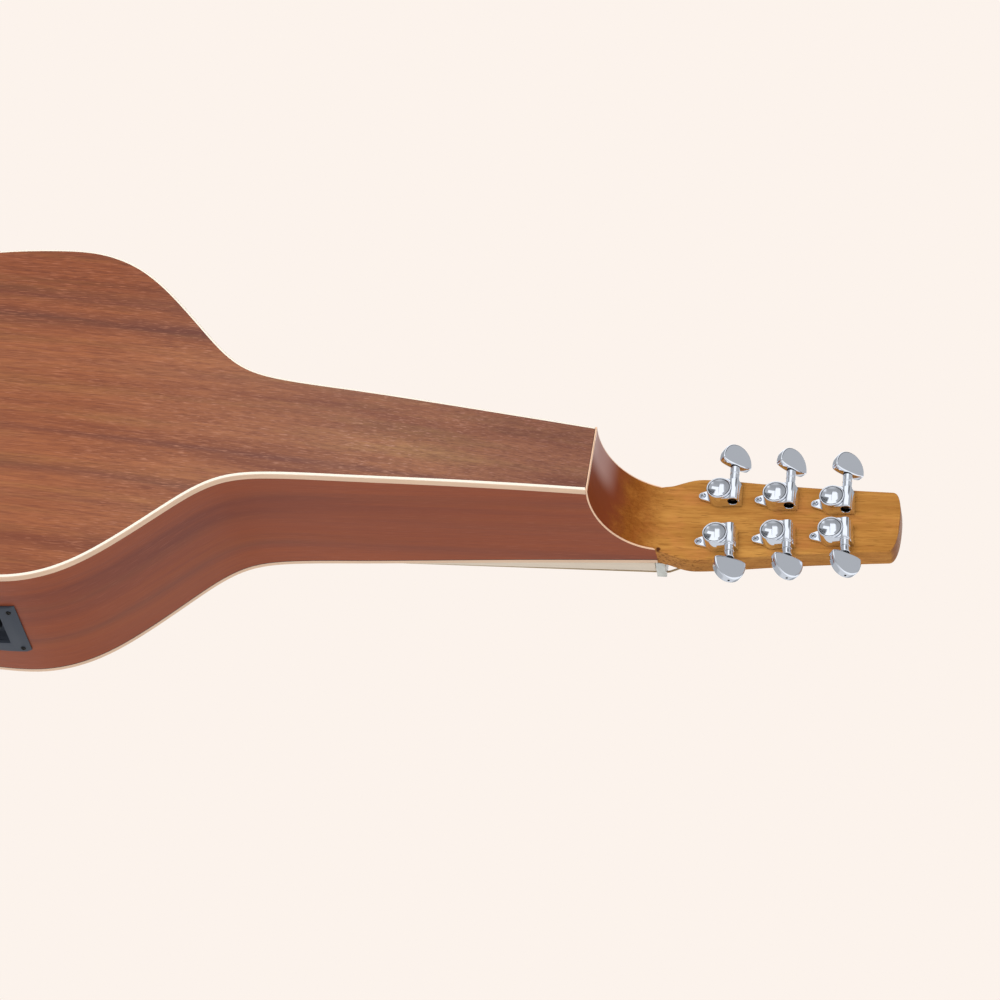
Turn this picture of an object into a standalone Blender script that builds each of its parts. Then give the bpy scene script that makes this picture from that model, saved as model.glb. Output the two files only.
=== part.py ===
"""Hollow-necked lap slide guitar (weissenborn pattern), lying on its back with the strings up.

Two frames carry the pieces. The body frame has its origin at the nut, in the plane of the top:
+X runs to the head, +Y to the bass side, +Z out of the top. The head frame is tilted back from it
and has its origin where the back of the head starts. The world origin is under the middle of the
whole guitar, on the surface that it lies on.
"""

import math

import bmesh
import bpy
import numpy as np
from mathutils import Matrix, Vector

MM = 0.001

# Clearances
GAP = 0.3 * MM
RUN = 0.35 * MM

# Body outline: distance from the nut and half width, down to the widest point of the lower bout
SCALE_LENGTH = 635 * MM
NUT_HALF_WIDTH = 25.4 * MM
OUTLINE = [
    (80 * MM, 29.7 * MM),
    (150 * MM, 34.1 * MM),
    (200 * MM, 37.2 * MM),
    (240 * MM, 39.8 * MM),
    (270 * MM, 46.4 * MM),
    (300 * MM, 70.4 * MM),
    (330 * MM, 101.0 * MM),
    (360 * MM, 124.2 * MM),
    (390 * MM, 134.4 * MM),
    (420 * MM, 134.9 * MM),
    (455 * MM, 131.5 * MM),
    (500 * MM, 122.3 * MM),
    (545 * MM, 116.0 * MM),
    (590 * MM, 124.0 * MM),
    (640 * MM, 157.0 * MM),
    (685 * MM, 188.0 * MM),
    (725 * MM, 198.5 * MM),
]
BODY_LENGTH = 825 * MM
TAIL_SQUARENESS = 2.5
TAIL_STEPS = 7
FACET_TURN = math.radians(9)
FACET_LONGEST = 45 * MM
FACET_SHORTEST = 6 * MM
CURVE_STEPS = 24

# Body depth: full depth from the tail up to FLAT_BACK_FROM, then a curve up to the heel
BODY_DEPTH = 110.5 * MM
HEEL_DEPTH = 76.9 * MM
FLAT_BACK_FROM = 560 * MM
HEEL_SETBACK = 38.7 * MM
NECK_SIDE_LEAN = 2.4 * MM
LEAN_ENDS_AT = 500 * MM

# Plates, sides and edge strips
TOP_THICKNESS = 2.8 * MM
BACK_THICKNESS = 2.8 * MM
RIB_THICKNESS = 2.3 * MM
EDGE_STRIP_WIDTH = 1.7 * MM
TOP_STRIP_HEIGHT = 3.3 * MM
BACK_STRIP_HEIGHT = 5.0 * MM
HEEL_STRIP_THICKNESS = 1.5 * MM
HEEL_STRIP_HEIGHT = 3.4 * MM
LINING_WIDTH = 6 * MM
LINING_HEIGHT = 14 * MM
SADDLE_TO_SOUNDHOLE = 150 * MM
SOUNDHOLE_RADIUS = 47.5 * MM

# Concave heel: a quarter ellipse from the back of the neck to the back of the head
SCOOP_LENGTH = 43.7 * MM
SCOOP_STRAIGHT = 6 * MM
SCOOP_STEPS = 9

# Head
HEAD_DROP = 14.2 * MM
HEAD_TILT = math.radians(3.0)
HEAD_THICKNESS = 14 * MM
HEAD_OUTLINE = [
    (7 * MM, 27.6 * MM),
    (14 * MM, 30.2 * MM),
    (21 * MM, 32.0 * MM),
    (28 * MM, 32.2 * MM),
    (66 * MM, 29.1 * MM),
    (107 * MM, 25.8 * MM),
]
HEAD_LENGTH = 155.5 * MM
HEAD_TIP_HALF_WIDTH = 23.6 * MM
HEAD_TIP_ARC = 8 * MM
HEAD_TIP_SQUARENESS = 3.2
HEAD_TIP_STEPS = 8
HEAD_BLOCK_LENGTH = 85 * MM
TOE_OVERLAP = 2 * MM
TAIL_BLOCK_HALF_WIDTH = 36 * MM
TAIL_BLOCK_LENGTH = 22 * MM

# Fingerboard and nut
FINGERBOARD_TO_SOUNDHOLE = 7.5 * MM
FINGERBOARD_THICKNESS = 8.7 * MM
FINGERBOARD_FLARE = 0.0193
FINGERBOARD_STRIP = 1.6 * MM
NUT_LENGTH = 6.2 * MM
NUT_BEHIND = 4.2 * MM
NUT_TOP = 16.3 * MM
STRING_SPREAD_NUT = 41.8 * MM

# Bridge
BRIDGE_LENGTH = 30 * MM
BRIDGE_HEIGHT = 9.5 * MM
BRIDGE_WING_HEIGHT = 4 * MM
BRIDGE_HALF_WIDTH = 86 * MM
BRIDGE_MIDDLE_HALF_WIDTH = 44 * MM
BRIDGE_TIP_LENGTH = 14 * MM
SADDLE_THICKNESS = 3 * MM
SADDLE_HALF_WIDTH = 37 * MM
SADDLE_TOP = 16.8 * MM
SADDLE_SLOT_DEPTH = 5 * MM
STRING_SPREAD_BRIDGE = 56 * MM
PIN_BEHIND_SADDLE = 15 * MM
PIN_RADIUS = 2.4 * MM
PIN_HEAD_RADIUS = 3.9 * MM
PIN_HEAD_RISE = 2.4 * MM
PIN_HEAD_HEIGHT = 3.2 * MM
PIN_SIDES = 12
BRIDGE_PLATE_THICKNESS = 3 * MM
BRIDGE_PLATE_LENGTH = 38 * MM
BRIDGE_PLATE_HALF_WIDTH = 56 * MM
BALL_RADIUS = 1.8 * MM
BALL_LENGTH = 3.2 * MM

# Strings, from the bass side to the treble side
STRING_RADII = [0.70 * MM, 0.54 * MM, 0.42 * MM, 0.33 * MM, 0.26 * MM, 0.22 * MM]
STRING_TURNS = 2
STRING_LOOP_POINTS = 24
STRING_TURN_GAP = 0.55 * MM

# Braces
BRACE_WIDTH = 7 * MM
BRACE_HEIGHT = 13 * MM
SADDLE_TO_BRACE_CROSSING = 75 * MM
X_BRACE_ANGLE = math.radians(55)
X_BRACE_FRONT = 92 * MM
X_BRACE_REAR = 150 * MM
BACK_BRACES_AT = {
    "back_brace_upper": 350 * MM,
    "back_brace_middle": 520 * MM,
    "back_brace_lower": 690 * MM,
}

# Tuners, three on each side of the head, named from the nut outwards. The bass row stands a
# little nearer the tip than the treble row, and each row's keys lean a little from square.
FIRST_TUNER_AT = 38.1 * MM
TUNER_STEP = 37 * MM
TUNER_STAGGER = 0.6 * MM
FIRST_TUNER_OUT = 17.9 * MM
LAST_TUNER_OUT = 12.6 * MM
TUNER_LEANS = {"bass": math.radians(-5.5), "treble": math.radians(-2.5)}
POST_RADIUS = 3 * MM
POST_RISE = 19 * MM
WINDING_RISE = 6 * MM
HOUSING_HEIGHT = 10.9 * MM
HOUSING_RADIUS = 8.2 * MM
HOUSING_WALL = 1.3 * MM
HOUSING_SIDES = 18
HOUSING_BLOCK_HALF = 7.7 * MM
HOUSING_BLOCK_DROP = 2.2 * MM
ROUND_SIDES = 12
DISH_DEPTH = 1.4 * MM
DISH_RIM = 0.9 * MM
GEAR_RADIUS = 5.9 * MM
GEAR_THICKNESS = 2.8 * MM
GEAR_TEETH = 14
WORM_OUT = 9.1 * MM
WORM_HEIGHT = 6.6 * MM
WORM_RADIUS = 2.8 * MM
WORM_TUBE_RADIUS = 3.9 * MM
WORM_TUBE_REACH = 13.5 * MM
EAR_SCREW_AT = 12 * MM
EAR_RADIUS = 3.0 * MM
EAR_ROOT_HALF_WIDTH = 6.2 * MM
EAR_STEPS = 6
EAR_THICKNESS = 2.2 * MM
SHAFT_RADIUS = 2.0 * MM
BUTTON_AT = 19.1 * MM
BUTTON_HEIGHT = 16.8 * MM
BUTTON_HALF_LENGTH = 10.9 * MM
BUTTON_CORNER = 3.2 * MM
BUTTON_THICKNESS = 5.6 * MM
BUTTON_STEPS = 10
BUTTON_TURNS = {
    ("treble", 1): math.radians(-40),
    ("treble", 2): math.radians(-46),
    ("treble", 3): math.radians(-40),
    ("bass", 1): math.radians(-29),
    ("bass", 2): math.radians(-38),
    ("bass", 3): math.radians(-38),
}

# Preamp in the bass side
PREAMP_AT = 439 * MM
PREAMP_LENGTH = 92 * MM
PREAMP_WIDTH = 49 * MM
PREAMP_CENTRE_BELOW_TOP = 51 * MM
PREAMP_FLANGE = 4 * MM
PREAMP_PROUD = 2.4 * MM
PREAMP_DEPTH = 34 * MM
PREAMP_STEPS = 6
POCKET_LENGTH = 72 * MM
POCKET_WIDTH = 31 * MM
POCKET_DEPTH = 7 * MM
KNOB_RADIUS = 6.5 * MM
KNOB_HEIGHT = 6 * MM
KNOB_SHAFT_RADIUS = 2 * MM
KNOB_ALONG = 24 * MM
SLIDER_NAMES = ["preamp_slider_bass", "preamp_slider_middle", "preamp_slider_treble"]
SLIDER_STEP = 13 * MM
SLIDER_FIRST_ALONG = -24 * MM
SLIDER_TRAVEL = 8 * MM
SLIDER_STEM = 1.4 * MM
SLIDER_CAP = (7 * MM, 4 * MM, 4 * MM)
CONTROL_DEPTH = 6 * MM

# Output jack in the tail, which is also the strap pin
JACK_BARREL_RADIUS = 5.8 * MM
JACK_NECK_RADIUS = 5.2 * MM
JACK_FLANGE_RADIUS = 8.5 * MM
JACK_NECK_LENGTH = 8 * MM
JACK_FLANGE_THICKNESS = 2.5 * MM
JACK_BORE_RADIUS = 3.2 * MM
JACK_BARREL_LENGTH = 26 * MM
JACK_BELOW_TOP = 50 * MM

# Colours: linear red, green, blue, then roughness and metallic
MATERIALS = {
    "side_wood": ((0.20, 0.055, 0.03), 0.42, 0.0),
    "back_wood": ((0.24, 0.085, 0.045), 0.42, 0.0),
    "head_wood": ((0.42, 0.17, 0.045), 0.35, 0.0),
    "dark_wood": ((0.03, 0.015, 0.01), 0.45, 0.0),
    "brace_wood": ((0.62, 0.45, 0.26), 0.6, 0.0),
    "cream_strip": ((0.80, 0.66, 0.48), 0.4, 0.0),
    "peach_strip": ((0.80, 0.45, 0.27), 0.4, 0.0),
    "bone": ((0.62, 0.66, 0.64), 0.4, 0.0),
    "chrome": ((0.62, 0.64, 0.67), 0.08, 1.0),
    "steel": ((0.55, 0.55, 0.56), 0.25, 1.0),
    "black_plastic": ((0.012, 0.014, 0.018), 0.35, 0.0),
}

JACK_REACH = JACK_NECK_LENGTH + JACK_FLANGE_THICKNESS
TAIL_X = -BODY_LENGTH
HEAD_TIP_X = HEAD_LENGTH * math.cos(HEAD_TILT) + HEAD_THICKNESS * math.sin(HEAD_TILT)
CENTRE_X = (TAIL_X - JACK_REACH + HEAD_TIP_X) / 2
HEEL_X = -HEEL_SETBACK
SADDLE_X = -SCALE_LENGTH
SOUNDHOLE_AT = SCALE_LENGTH - SADDLE_TO_SOUNDHOLE
FINGERBOARD_LENGTH = SOUNDHOLE_AT - SOUNDHOLE_RADIUS - FINGERBOARD_TO_SOUNDHOLE
X_BRACE_AT = SCALE_LENGTH - SADDLE_TO_BRACE_CROSSING
PIN_X = SADDLE_X - PIN_BEHIND_SADDLE
NUT_FRONT_X = NUT_BEHIND - NUT_LENGTH
PREAMP_Z = -PREAMP_CENTRE_BELOW_TOP
JACK_Z = -JACK_BELOW_TOP


def clear_scene():
    """Remove what the scene holds, so that only the guitar is in it."""
    for obj in list(bpy.context.scene.objects):
        bpy.data.objects.remove(obj, do_unlink=True)


def material(name):
    """A Principled material from the table of colours, made once."""
    if name in bpy.data.materials:
        return bpy.data.materials[name]
    colour, roughness, metallic = MATERIALS[name]
    made = bpy.data.materials.new(name)
    made.use_nodes = True
    shader = made.node_tree.nodes["Principled BSDF"]
    shader.inputs["Base Color"].default_value = (*colour, 1)
    shader.inputs["Roughness"].default_value = roughness
    shader.inputs["Metallic"].default_value = metallic
    return made


def empty(name, parent=None, location=(0, 0, 0), rotation=(0, 0, 0)):
    """A frame that pieces hang from."""
    made = bpy.data.objects.new(name, None)
    bpy.context.scene.collection.objects.link(made)
    made.parent = parent
    made.location = location
    made.rotation_euler = rotation
    return made


def piece(name, bm, finish, parent, location=(0, 0, 0), rotation=(0, 0, 0), smooth=None):
    """Make one named object from a bmesh, placed in its parent's frame."""
    bmesh.ops.remove_doubles(bm, verts=bm.verts, dist=1e-6)
    bmesh.ops.recalc_face_normals(bm, faces=bm.faces)
    mesh = bpy.data.meshes.new(name)
    bm.to_mesh(mesh)
    bm.free()
    if smooth is not None:
        mesh.shade_smooth()
        mesh.set_sharp_from_angle(angle=math.radians(smooth))
    mesh.materials.append(material(finish))
    made = bpy.data.objects.new(name, mesh)
    bpy.context.scene.collection.objects.link(made)
    made.parent = parent
    made.location = location
    made.rotation_euler = rotation
    return made


def hide(tool):
    """Keep a cutter or a joined part out of the model."""
    tool.hide_render = True
    tool.display_type = "WIRE"
    return tool


def boolean(target, tool, operation="DIFFERENCE"):
    """Cut a hidden tool from a piece, or join it to the piece."""
    hide(tool)
    step = target.modifiers.new(operation.title(), "BOOLEAN")
    step.operation = operation
    step.solver = "EXACT"
    step.object = tool


def box_mesh(low, high):
    """A box between two corners."""
    bm = bmesh.new()
    bmesh.ops.create_cube(bm, size=1)
    for vert in bm.verts:
        for axis in range(3):
            middle = (low[axis] + high[axis]) / 2
            vert.co[axis] = middle + vert.co[axis] * (high[axis] - low[axis])
    return bm


def prism_mesh(points, low, high):
    """An outline in X and Y, extruded from one height to another."""
    bm = bmesh.new()
    verts = [bm.verts.new((x, y, low)) for x, y in points]
    face = bm.faces.new(verts)
    grown = bmesh.ops.extrude_face_region(bm, geom=[face])
    top = [item for item in grown["geom"] if isinstance(item, bmesh.types.BMVert)]
    bmesh.ops.translate(bm, verts=top, vec=(0, 0, high - low))
    return bm


def turned_mesh(profile, sides):
    """A solid turned about Z from (radius, height) points; a radius of 0 closes it on the axis."""
    bm = bmesh.new()
    rings = []
    for radius, height in profile:
        count = sides if radius > 0 else 1
        ring = []
        for index in range(count):
            turn = 2 * math.pi * index / sides
            ring.append(bm.verts.new((radius * math.cos(turn), radius * math.sin(turn), height)))
        rings.append(ring)
    for lower, upper in zip(rings, rings[1:]):
        for index in range(sides):
            after = (index + 1) % sides
            corners = [
                lower[index % len(lower)],
                lower[after % len(lower)],
                upper[after % len(upper)],
                upper[index % len(upper)],
            ]
            distinct = list(dict.fromkeys(corners))
            bm.faces.new(distinct)
    for ring in (rings[0], rings[-1]):
        if len(ring) > 1:
            bm.faces.new(ring)
    return bm


def cylinder_mesh(radius, low, high, sides):
    """A plain cylinder along Z."""
    return turned_mesh([(radius, low), (radius, high)], sides)


def loft_mesh(sections):
    """A closed solid through sections that have the same number of points."""
    bm = bmesh.new()
    rings = [[bm.verts.new(point) for point in section] for section in sections]
    for ring, following in zip(rings, rings[1:]):
        count = len(ring)
        for index in range(count):
            after = (index + 1) % count
            bm.faces.new([ring[index], ring[after], following[after], following[index]])
    bm.faces.new(rings[0])
    bm.faces.new(rings[-1])
    return bm


def turn_mesh(bm, angle, axis):
    """Turn a mesh about its origin before it is made a piece."""
    bmesh.ops.rotate(bm, verts=bm.verts, cent=(0, 0, 0), matrix=Matrix.Rotation(angle, 3, axis))
    return bm


def natural_spline(stations, steps):
    """Points on a smooth curve through the stations, with even steps in each span."""
    points = np.array(stations, dtype=float)
    spans = len(points) - 1
    chords = np.linalg.norm(np.diff(points, axis=0), axis=1)
    system = np.eye(spans + 1)
    right = np.zeros((spans + 1, 2))
    for row in range(1, spans):
        before = chords[row - 1]
        after = chords[row]
        system[row, row - 1 : row + 2] = before, 2 * (before + after), after
        rise = (points[row + 1] - points[row]) / after
        right[row] = 6 * (rise - (points[row] - points[row - 1]) / before)
    bends = np.linalg.solve(system, right)
    curve = []
    for span in range(spans):
        length = chords[span]
        slope = (points[span + 1] - points[span]) / length
        slope = slope - length * (2 * bends[span] + bends[span + 1]) / 6
        for step in range(steps):
            run = length * step / steps
            cubic = (bends[span + 1] - bends[span]) / (6 * length)
            curve.append(points[span] + slope * run + bends[span] / 2 * run**2 + cubic * run**3)
    curve.append(points[-1])
    return np.array(curve)


def tail_stations():
    """The tail behind the widest point of the lower bout, as a squared quarter oval."""
    widest_at, half_width = OUTLINE[-1]
    stations = []
    for step in range(1, TAIL_STEPS + 1):
        angle = math.pi / 2 * step / TAIL_STEPS
        along = math.sin(angle) ** (2 / TAIL_SQUARENESS)
        across = max(math.cos(angle), 0) ** (2 / TAIL_SQUARENESS)
        if step == TAIL_STEPS:
            across = 0
        stations.append((widest_at + (BODY_LENGTH - widest_at) * along, half_width * across))
    return stations


def outline_curve(steps):
    """The body's edge on the bass side, from the nut to the middle of the tail."""
    bass = [(0, NUT_HALF_WIDTH)] + OUTLINE + tail_stations()
    treble = [(along, -half) for along, half in reversed(bass[:-1])]
    whole = natural_spline([(-along, half) for along, half in bass + treble], steps)
    return whole[: (len(bass) - 1) * steps + 1]


def facet_corners():
    """Corners of the faceted edge that every piece follows, and the directions out of the body."""
    curve = outline_curve(CURVE_STEPS)
    slopes = np.diff(curve, axis=0)
    lengths = np.linalg.norm(slopes, axis=1)
    headings = np.unwrap(np.arctan2(slopes[:, 1], slopes[:, 0]))
    corners = [curve[0]]
    facing = [headings[0]]
    turned = 0.0
    passed = lengths[0]
    for index in range(1, len(headings)):
        turned += abs(headings[index] - headings[index - 1])
        left = lengths[index:].sum()
        if (turned >= FACET_TURN or passed >= FACET_LONGEST) and left > FACET_SHORTEST:
            corners.append(curve[index])
            facing.append((headings[index] + headings[index - 1]) / 2)
            turned = 0.0
            passed = 0.0
        passed += lengths[index]
    corners.append(np.array((TAIL_X, 0.0)))
    across_the_tail = 1.5 * math.pi
    facing.append(across_the_tail)
    outwards = [(math.sin(heading), -math.cos(heading)) for heading in facing]
    return np.array(corners), np.array(outwards)


CORNERS, OUTWARDS = facet_corners()
EDGE_RUN = np.concatenate([[0], np.cumsum(np.linalg.norm(np.diff(CORNERS, axis=0), axis=1))])
WIDEST = int(np.argmax(CORNERS[:, 1]))


def offset_edge(depth):
    """The faceted edge moved into the body."""
    moved = CORNERS - OUTWARDS * depth
    moved[-1, 1] = 0
    return moved


def half_width(x, depth=0.0):
    """Half the width at a place ahead of the lower bout's widest point, inside by a depth."""
    edge = offset_edge(depth)[: WIDEST + 1]
    return float(np.interp(-x, -edge[:, 0], edge[:, 1]))


def run_at(x):
    """Distance along the edge at a place along the body, ahead of the tail."""
    return float(np.interp(-x, -CORNERS[: WIDEST + 1, 0], EDGE_RUN[: WIDEST + 1]))


def run_off_centre(half):
    """Distance along the edge where the tail comes in to this half width."""
    return float(np.interp(-half, -CORNERS[WIDEST:, 1], EDGE_RUN[WIDEST:]))


def edge_place(run, depth=0.0):
    """Place on the faceted edge at a distance along it, inside by a depth."""
    edge = offset_edge(depth)
    return float(np.interp(run, EDGE_RUN, edge[:, 0])), float(np.interp(run, EDGE_RUN, edge[:, 1]))


def edge_runs(start, end):
    """Distances along the edge for a piece that follows it, at the corners that all share."""
    inside = [run for run in EDGE_RUN if start + FACET_SHORTEST < run < end - FACET_SHORTEST]
    return [start] + inside + [end]


def back_height(x):
    """Height of the back's outer face."""
    rise = (BODY_DEPTH - HEEL_DEPTH) / (FLAT_BACK_FROM - HEEL_SETBACK) ** 2
    return -BODY_DEPTH + rise * max(x + FLAT_BACK_FROM, 0) ** 2


def scoop_height(x):
    """Height of the concave heel, from the back of the neck up to the back of the head."""
    if x <= HEEL_X:
        return back_height(x)
    low = back_height(HEEL_X) + SCOOP_STRAIGHT
    high = head_back_height(HEEL_X + SCOOP_LENGTH)
    share = max(1 - (x - HEEL_X) / SCOOP_LENGTH, 0)
    return low + (high - low) * math.sqrt(1 - min(share, 1) ** 2)


def head_back_height(x):
    """Height of the back face of the head."""
    return -HEAD_DROP - x * math.tan(HEAD_TILT)


def side_inset(x, z):
    """How far the sides lean in below the top, in the neck."""
    share = min(max(1 + x / LEAN_ENDS_AT, 0), 1)
    return NECK_SIDE_LEAN * share * -z / -back_height(x)


def side_point(run, z, depth):
    """A point inside the bass side, at a depth from its outer face."""
    x = edge_place(run)[0]
    place = edge_place(run, depth + side_inset(x, z))
    return (*place, z)


def strip_sections(runs, outer, inner, low, high):
    """Four-cornered sections of a strip that follows the bass side; low and high are heights at x."""
    sections = []
    for run in runs:
        x = edge_place(run)[0]
        bottom = low(x)
        top = high(x)
        sections.append(
            [
                side_point(run, bottom, outer),
                side_point(run, top, outer),
                side_point(run, top, inner),
                side_point(run, bottom, inner),
            ]
        )
    return sections


def mirrored(sections):
    """The same sections on the treble side, in the opposite order, so that both join at the tail."""
    return [[(x, -y, z) for x, y, z in section] for section in reversed(sections)]


def treble(bm):
    """Move a mesh made for the bass side to the treble side."""
    for vert in bm.verts:
        vert.co.y = -vert.co.y
    return bm


def plate_sections(runs, inset, low, high):
    """Sections straight across the body between its two sides, for a plate."""
    sections = []
    for run in runs:
        x = edge_place(run)[0]
        section = []
        for z in (low(x), high(x)):
            along, across, _ = side_point(run, z, inset)
            section.append((along, max(across, GAP), z))
        other = [(along, -across, z) for along, across, z in reversed(section)]
        sections.append(section + other)
    return sections


def string_across(index, spread):
    """Place across the strings, from the bass side at index 0."""
    last = len(STRING_RADII) - 1
    return spread * (0.5 - index / last)


def clear_of_top(_):
    """Height just under the top."""
    return -TOP_THICKNESS - GAP


def clear_of_back(x):
    """Height just above the back."""
    return back_height(x) + BACK_THICKNESS + GAP


def make_edge_strips(body):
    """The strips let into the corners of the body, and the one round the neck end."""
    end = EDGE_RUN[-1]
    top_runs = edge_runs(GAP, end)
    half = strip_sections(top_runs, 0, EDGE_STRIP_WIDTH, lambda x: -TOP_STRIP_HEIGHT, lambda x: 0)
    piece("top_binding", loft_mesh(half + mirrored(half[:-1])), "cream_strip", body)

    back_runs = edge_runs(run_at(HEEL_X - HEEL_STRIP_THICKNESS - GAP), end)
    half = strip_sections(
        back_runs,
        0,
        EDGE_STRIP_WIDTH,
        back_height,
        lambda x: back_height(x) + BACK_STRIP_HEIGHT,
    )
    piece("back_binding", loft_mesh(half + mirrored(half[:-1])), "cream_strip", body)


def heel_curve(offset):
    """Points (x, z) down the concave heel from the nut to the back, set into the neck."""
    start_angle = math.acos(min(max(1 + HEEL_X / SCOOP_LENGTH, 0), 1))
    low = back_height(HEEL_X) + SCOOP_STRAIGHT
    high = head_back_height(HEEL_X + SCOOP_LENGTH)
    curve = []
    for step in range(SCOOP_STEPS + 1):
        angle = start_angle * (1 - step / SCOOP_STEPS)
        x = HEEL_X + SCOOP_LENGTH * (1 - math.cos(angle))
        z = low + (high - low) * math.sin(angle)
        normal = Vector((math.cos(angle) * (high - low), -math.sin(angle) * SCOOP_LENGTH))
        normal.normalize()
        curve.append((x - normal.x * offset, z - normal.y * offset))
    curve.append((HEEL_X - offset, back_height(HEEL_X)))
    return curve


def make_heel_strip(body):
    """Thin strip that caps the ends of both sides along the concave heel, and the end of the back."""
    outer = heel_curve(0)
    inner = heel_curve(HEEL_STRIP_THICKNESS)
    sections = []
    for (outer_x, outer_z), (inner_x, inner_z) in zip(outer, inner):
        section = []
        for x, z in ((outer_x, outer_z), (inner_x, inner_z)):
            x = min(x, -GAP)
            run = run_at(x)
            section.append(side_point(run, z, 0))
            section.append(side_point(run, z, RIB_THICKNESS))
        sections.append([section[0], section[1], section[3], section[2]])
    low = back_height(HEEL_X)
    across = half_width(HEEL_X) - side_inset(HEEL_X, low) - RIB_THICKNESS / 2
    strip = piece(
        "heel_binding",
        box_mesh(
            (HEEL_X - HEEL_STRIP_THICKNESS, -across, low),
            (HEEL_X, across, low + HEEL_STRIP_HEIGHT),
        ),
        "peach_strip",
        body,
    )
    bass = piece("heel_binding_bass_tool", loft_mesh(sections), "peach_strip", body)
    other = piece("heel_binding_treble_tool", treble(loft_mesh(sections)), "peach_strip", body)
    boolean(strip, bass, "UNION")
    boolean(strip, other, "UNION")


def make_plates(body):
    """Soundboard and back, each inside its edge strip."""
    inset = EDGE_STRIP_WIDTH + GAP
    runs = edge_runs(GAP, EDGE_RUN[-1])
    sections = plate_sections(runs, inset, lambda x: -TOP_THICKNESS, lambda x: 0)
    soundboard = piece("soundboard", loft_mesh(sections), "back_wood", body)
    hole = cylinder_mesh(SOUNDHOLE_RADIUS, -2 * TOP_THICKNESS, TOP_THICKNESS, 32)
    place = (-SOUNDHOLE_AT, 0, 0)
    boolean(soundboard, piece("soundhole_cutter", hole, "back_wood", body, place))

    runs = edge_runs(run_at(HEEL_X - HEEL_STRIP_THICKNESS - GAP), EDGE_RUN[-1])
    sections = plate_sections(runs, inset, back_height, lambda x: back_height(x) + BACK_THICKNESS)
    piece("back_plate", loft_mesh(sections), "back_wood", body, smooth=20)
    return soundboard


def rib_bottom(x):
    """Lower edge of a side: above the back's edge strip, or inside the heel strip."""
    over_strip = back_height(x) + BACK_STRIP_HEIGHT + GAP
    inset = HEEL_STRIP_THICKNESS + GAP
    if x <= HEEL_X - inset:
        return over_strip
    curve = sorted(heel_curve(inset))
    xs = [point[0] for point in curve]
    zs = [point[1] for point in curve]
    return max(over_strip, float(np.interp(x, xs, zs)))


def make_sides(body):
    """The two bent sides, with the hole for the preamp and the jack."""
    inset = HEEL_STRIP_THICKNESS + GAP
    heel_xs = [x for x, _ in heel_curve(inset) if x < -2 * GAP]
    start = run_at(-GAP)
    body_runs = edge_runs(run_at(HEEL_X - inset), EDGE_RUN[-1] - GAP / 2)
    runs = [start] + [run_at(x) for x in heel_xs if x > HEEL_X - inset + GAP] + body_runs
    sections = strip_sections(
        runs, 0, RIB_THICKNESS, rib_bottom, lambda x: -TOP_STRIP_HEIGHT - GAP
    )
    bass = piece("rib_bass", loft_mesh(sections), "side_wood", body, smooth=25)
    other = piece("rib_treble", treble(loft_mesh(sections)), "side_wood", body, smooth=25)
    return bass, other


def make_linings(body):
    """Glue strips in the four inside corners, between the head block and the tail block."""
    start = run_at(-HEAD_BLOCK_LENGTH - 3 * GAP)
    end = run_off_centre(TAIL_BLOCK_HALF_WIDTH + LINING_WIDTH)
    runs = edge_runs(start, end)
    outer = RIB_THICKNESS + GAP
    inner = outer + LINING_WIDTH
    top = strip_sections(
        runs, outer, inner, lambda x: clear_of_top(x) - LINING_HEIGHT, clear_of_top
    )
    back = strip_sections(
        runs, outer, inner, clear_of_back, lambda x: clear_of_back(x) + LINING_HEIGHT
    )
    piece("top_lining_bass", loft_mesh(top), "brace_wood", body)
    piece("top_lining_treble", treble(loft_mesh(top)), "brace_wood", body)
    piece("back_lining_bass", loft_mesh(back), "brace_wood", body)
    piece("back_lining_treble", treble(loft_mesh(back)), "brace_wood", body)


def block_half_width(x, z):
    """Half width of the head block between the two sides."""
    return half_width(x) - side_inset(x, z) - RIB_THICKNESS - GAP


def head_half_width(x):
    """Half width of the head, from the nut to the arc of its tip."""
    arc_from = HEAD_LENGTH - HEAD_TIP_ARC
    stations = [(0, NUT_HALF_WIDTH)] + HEAD_OUTLINE + [(arc_from, HEAD_TIP_HALF_WIDTH)]
    curve = natural_spline(stations, 6)
    straight = float(np.interp(min(x, arc_from), curve[:, 0], curve[:, 1]))
    past = min(max(x - arc_from, 0) / HEAD_TIP_ARC, 1)
    return straight * math.sqrt(1 - past**HEAD_TIP_SQUARENESS)


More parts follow.
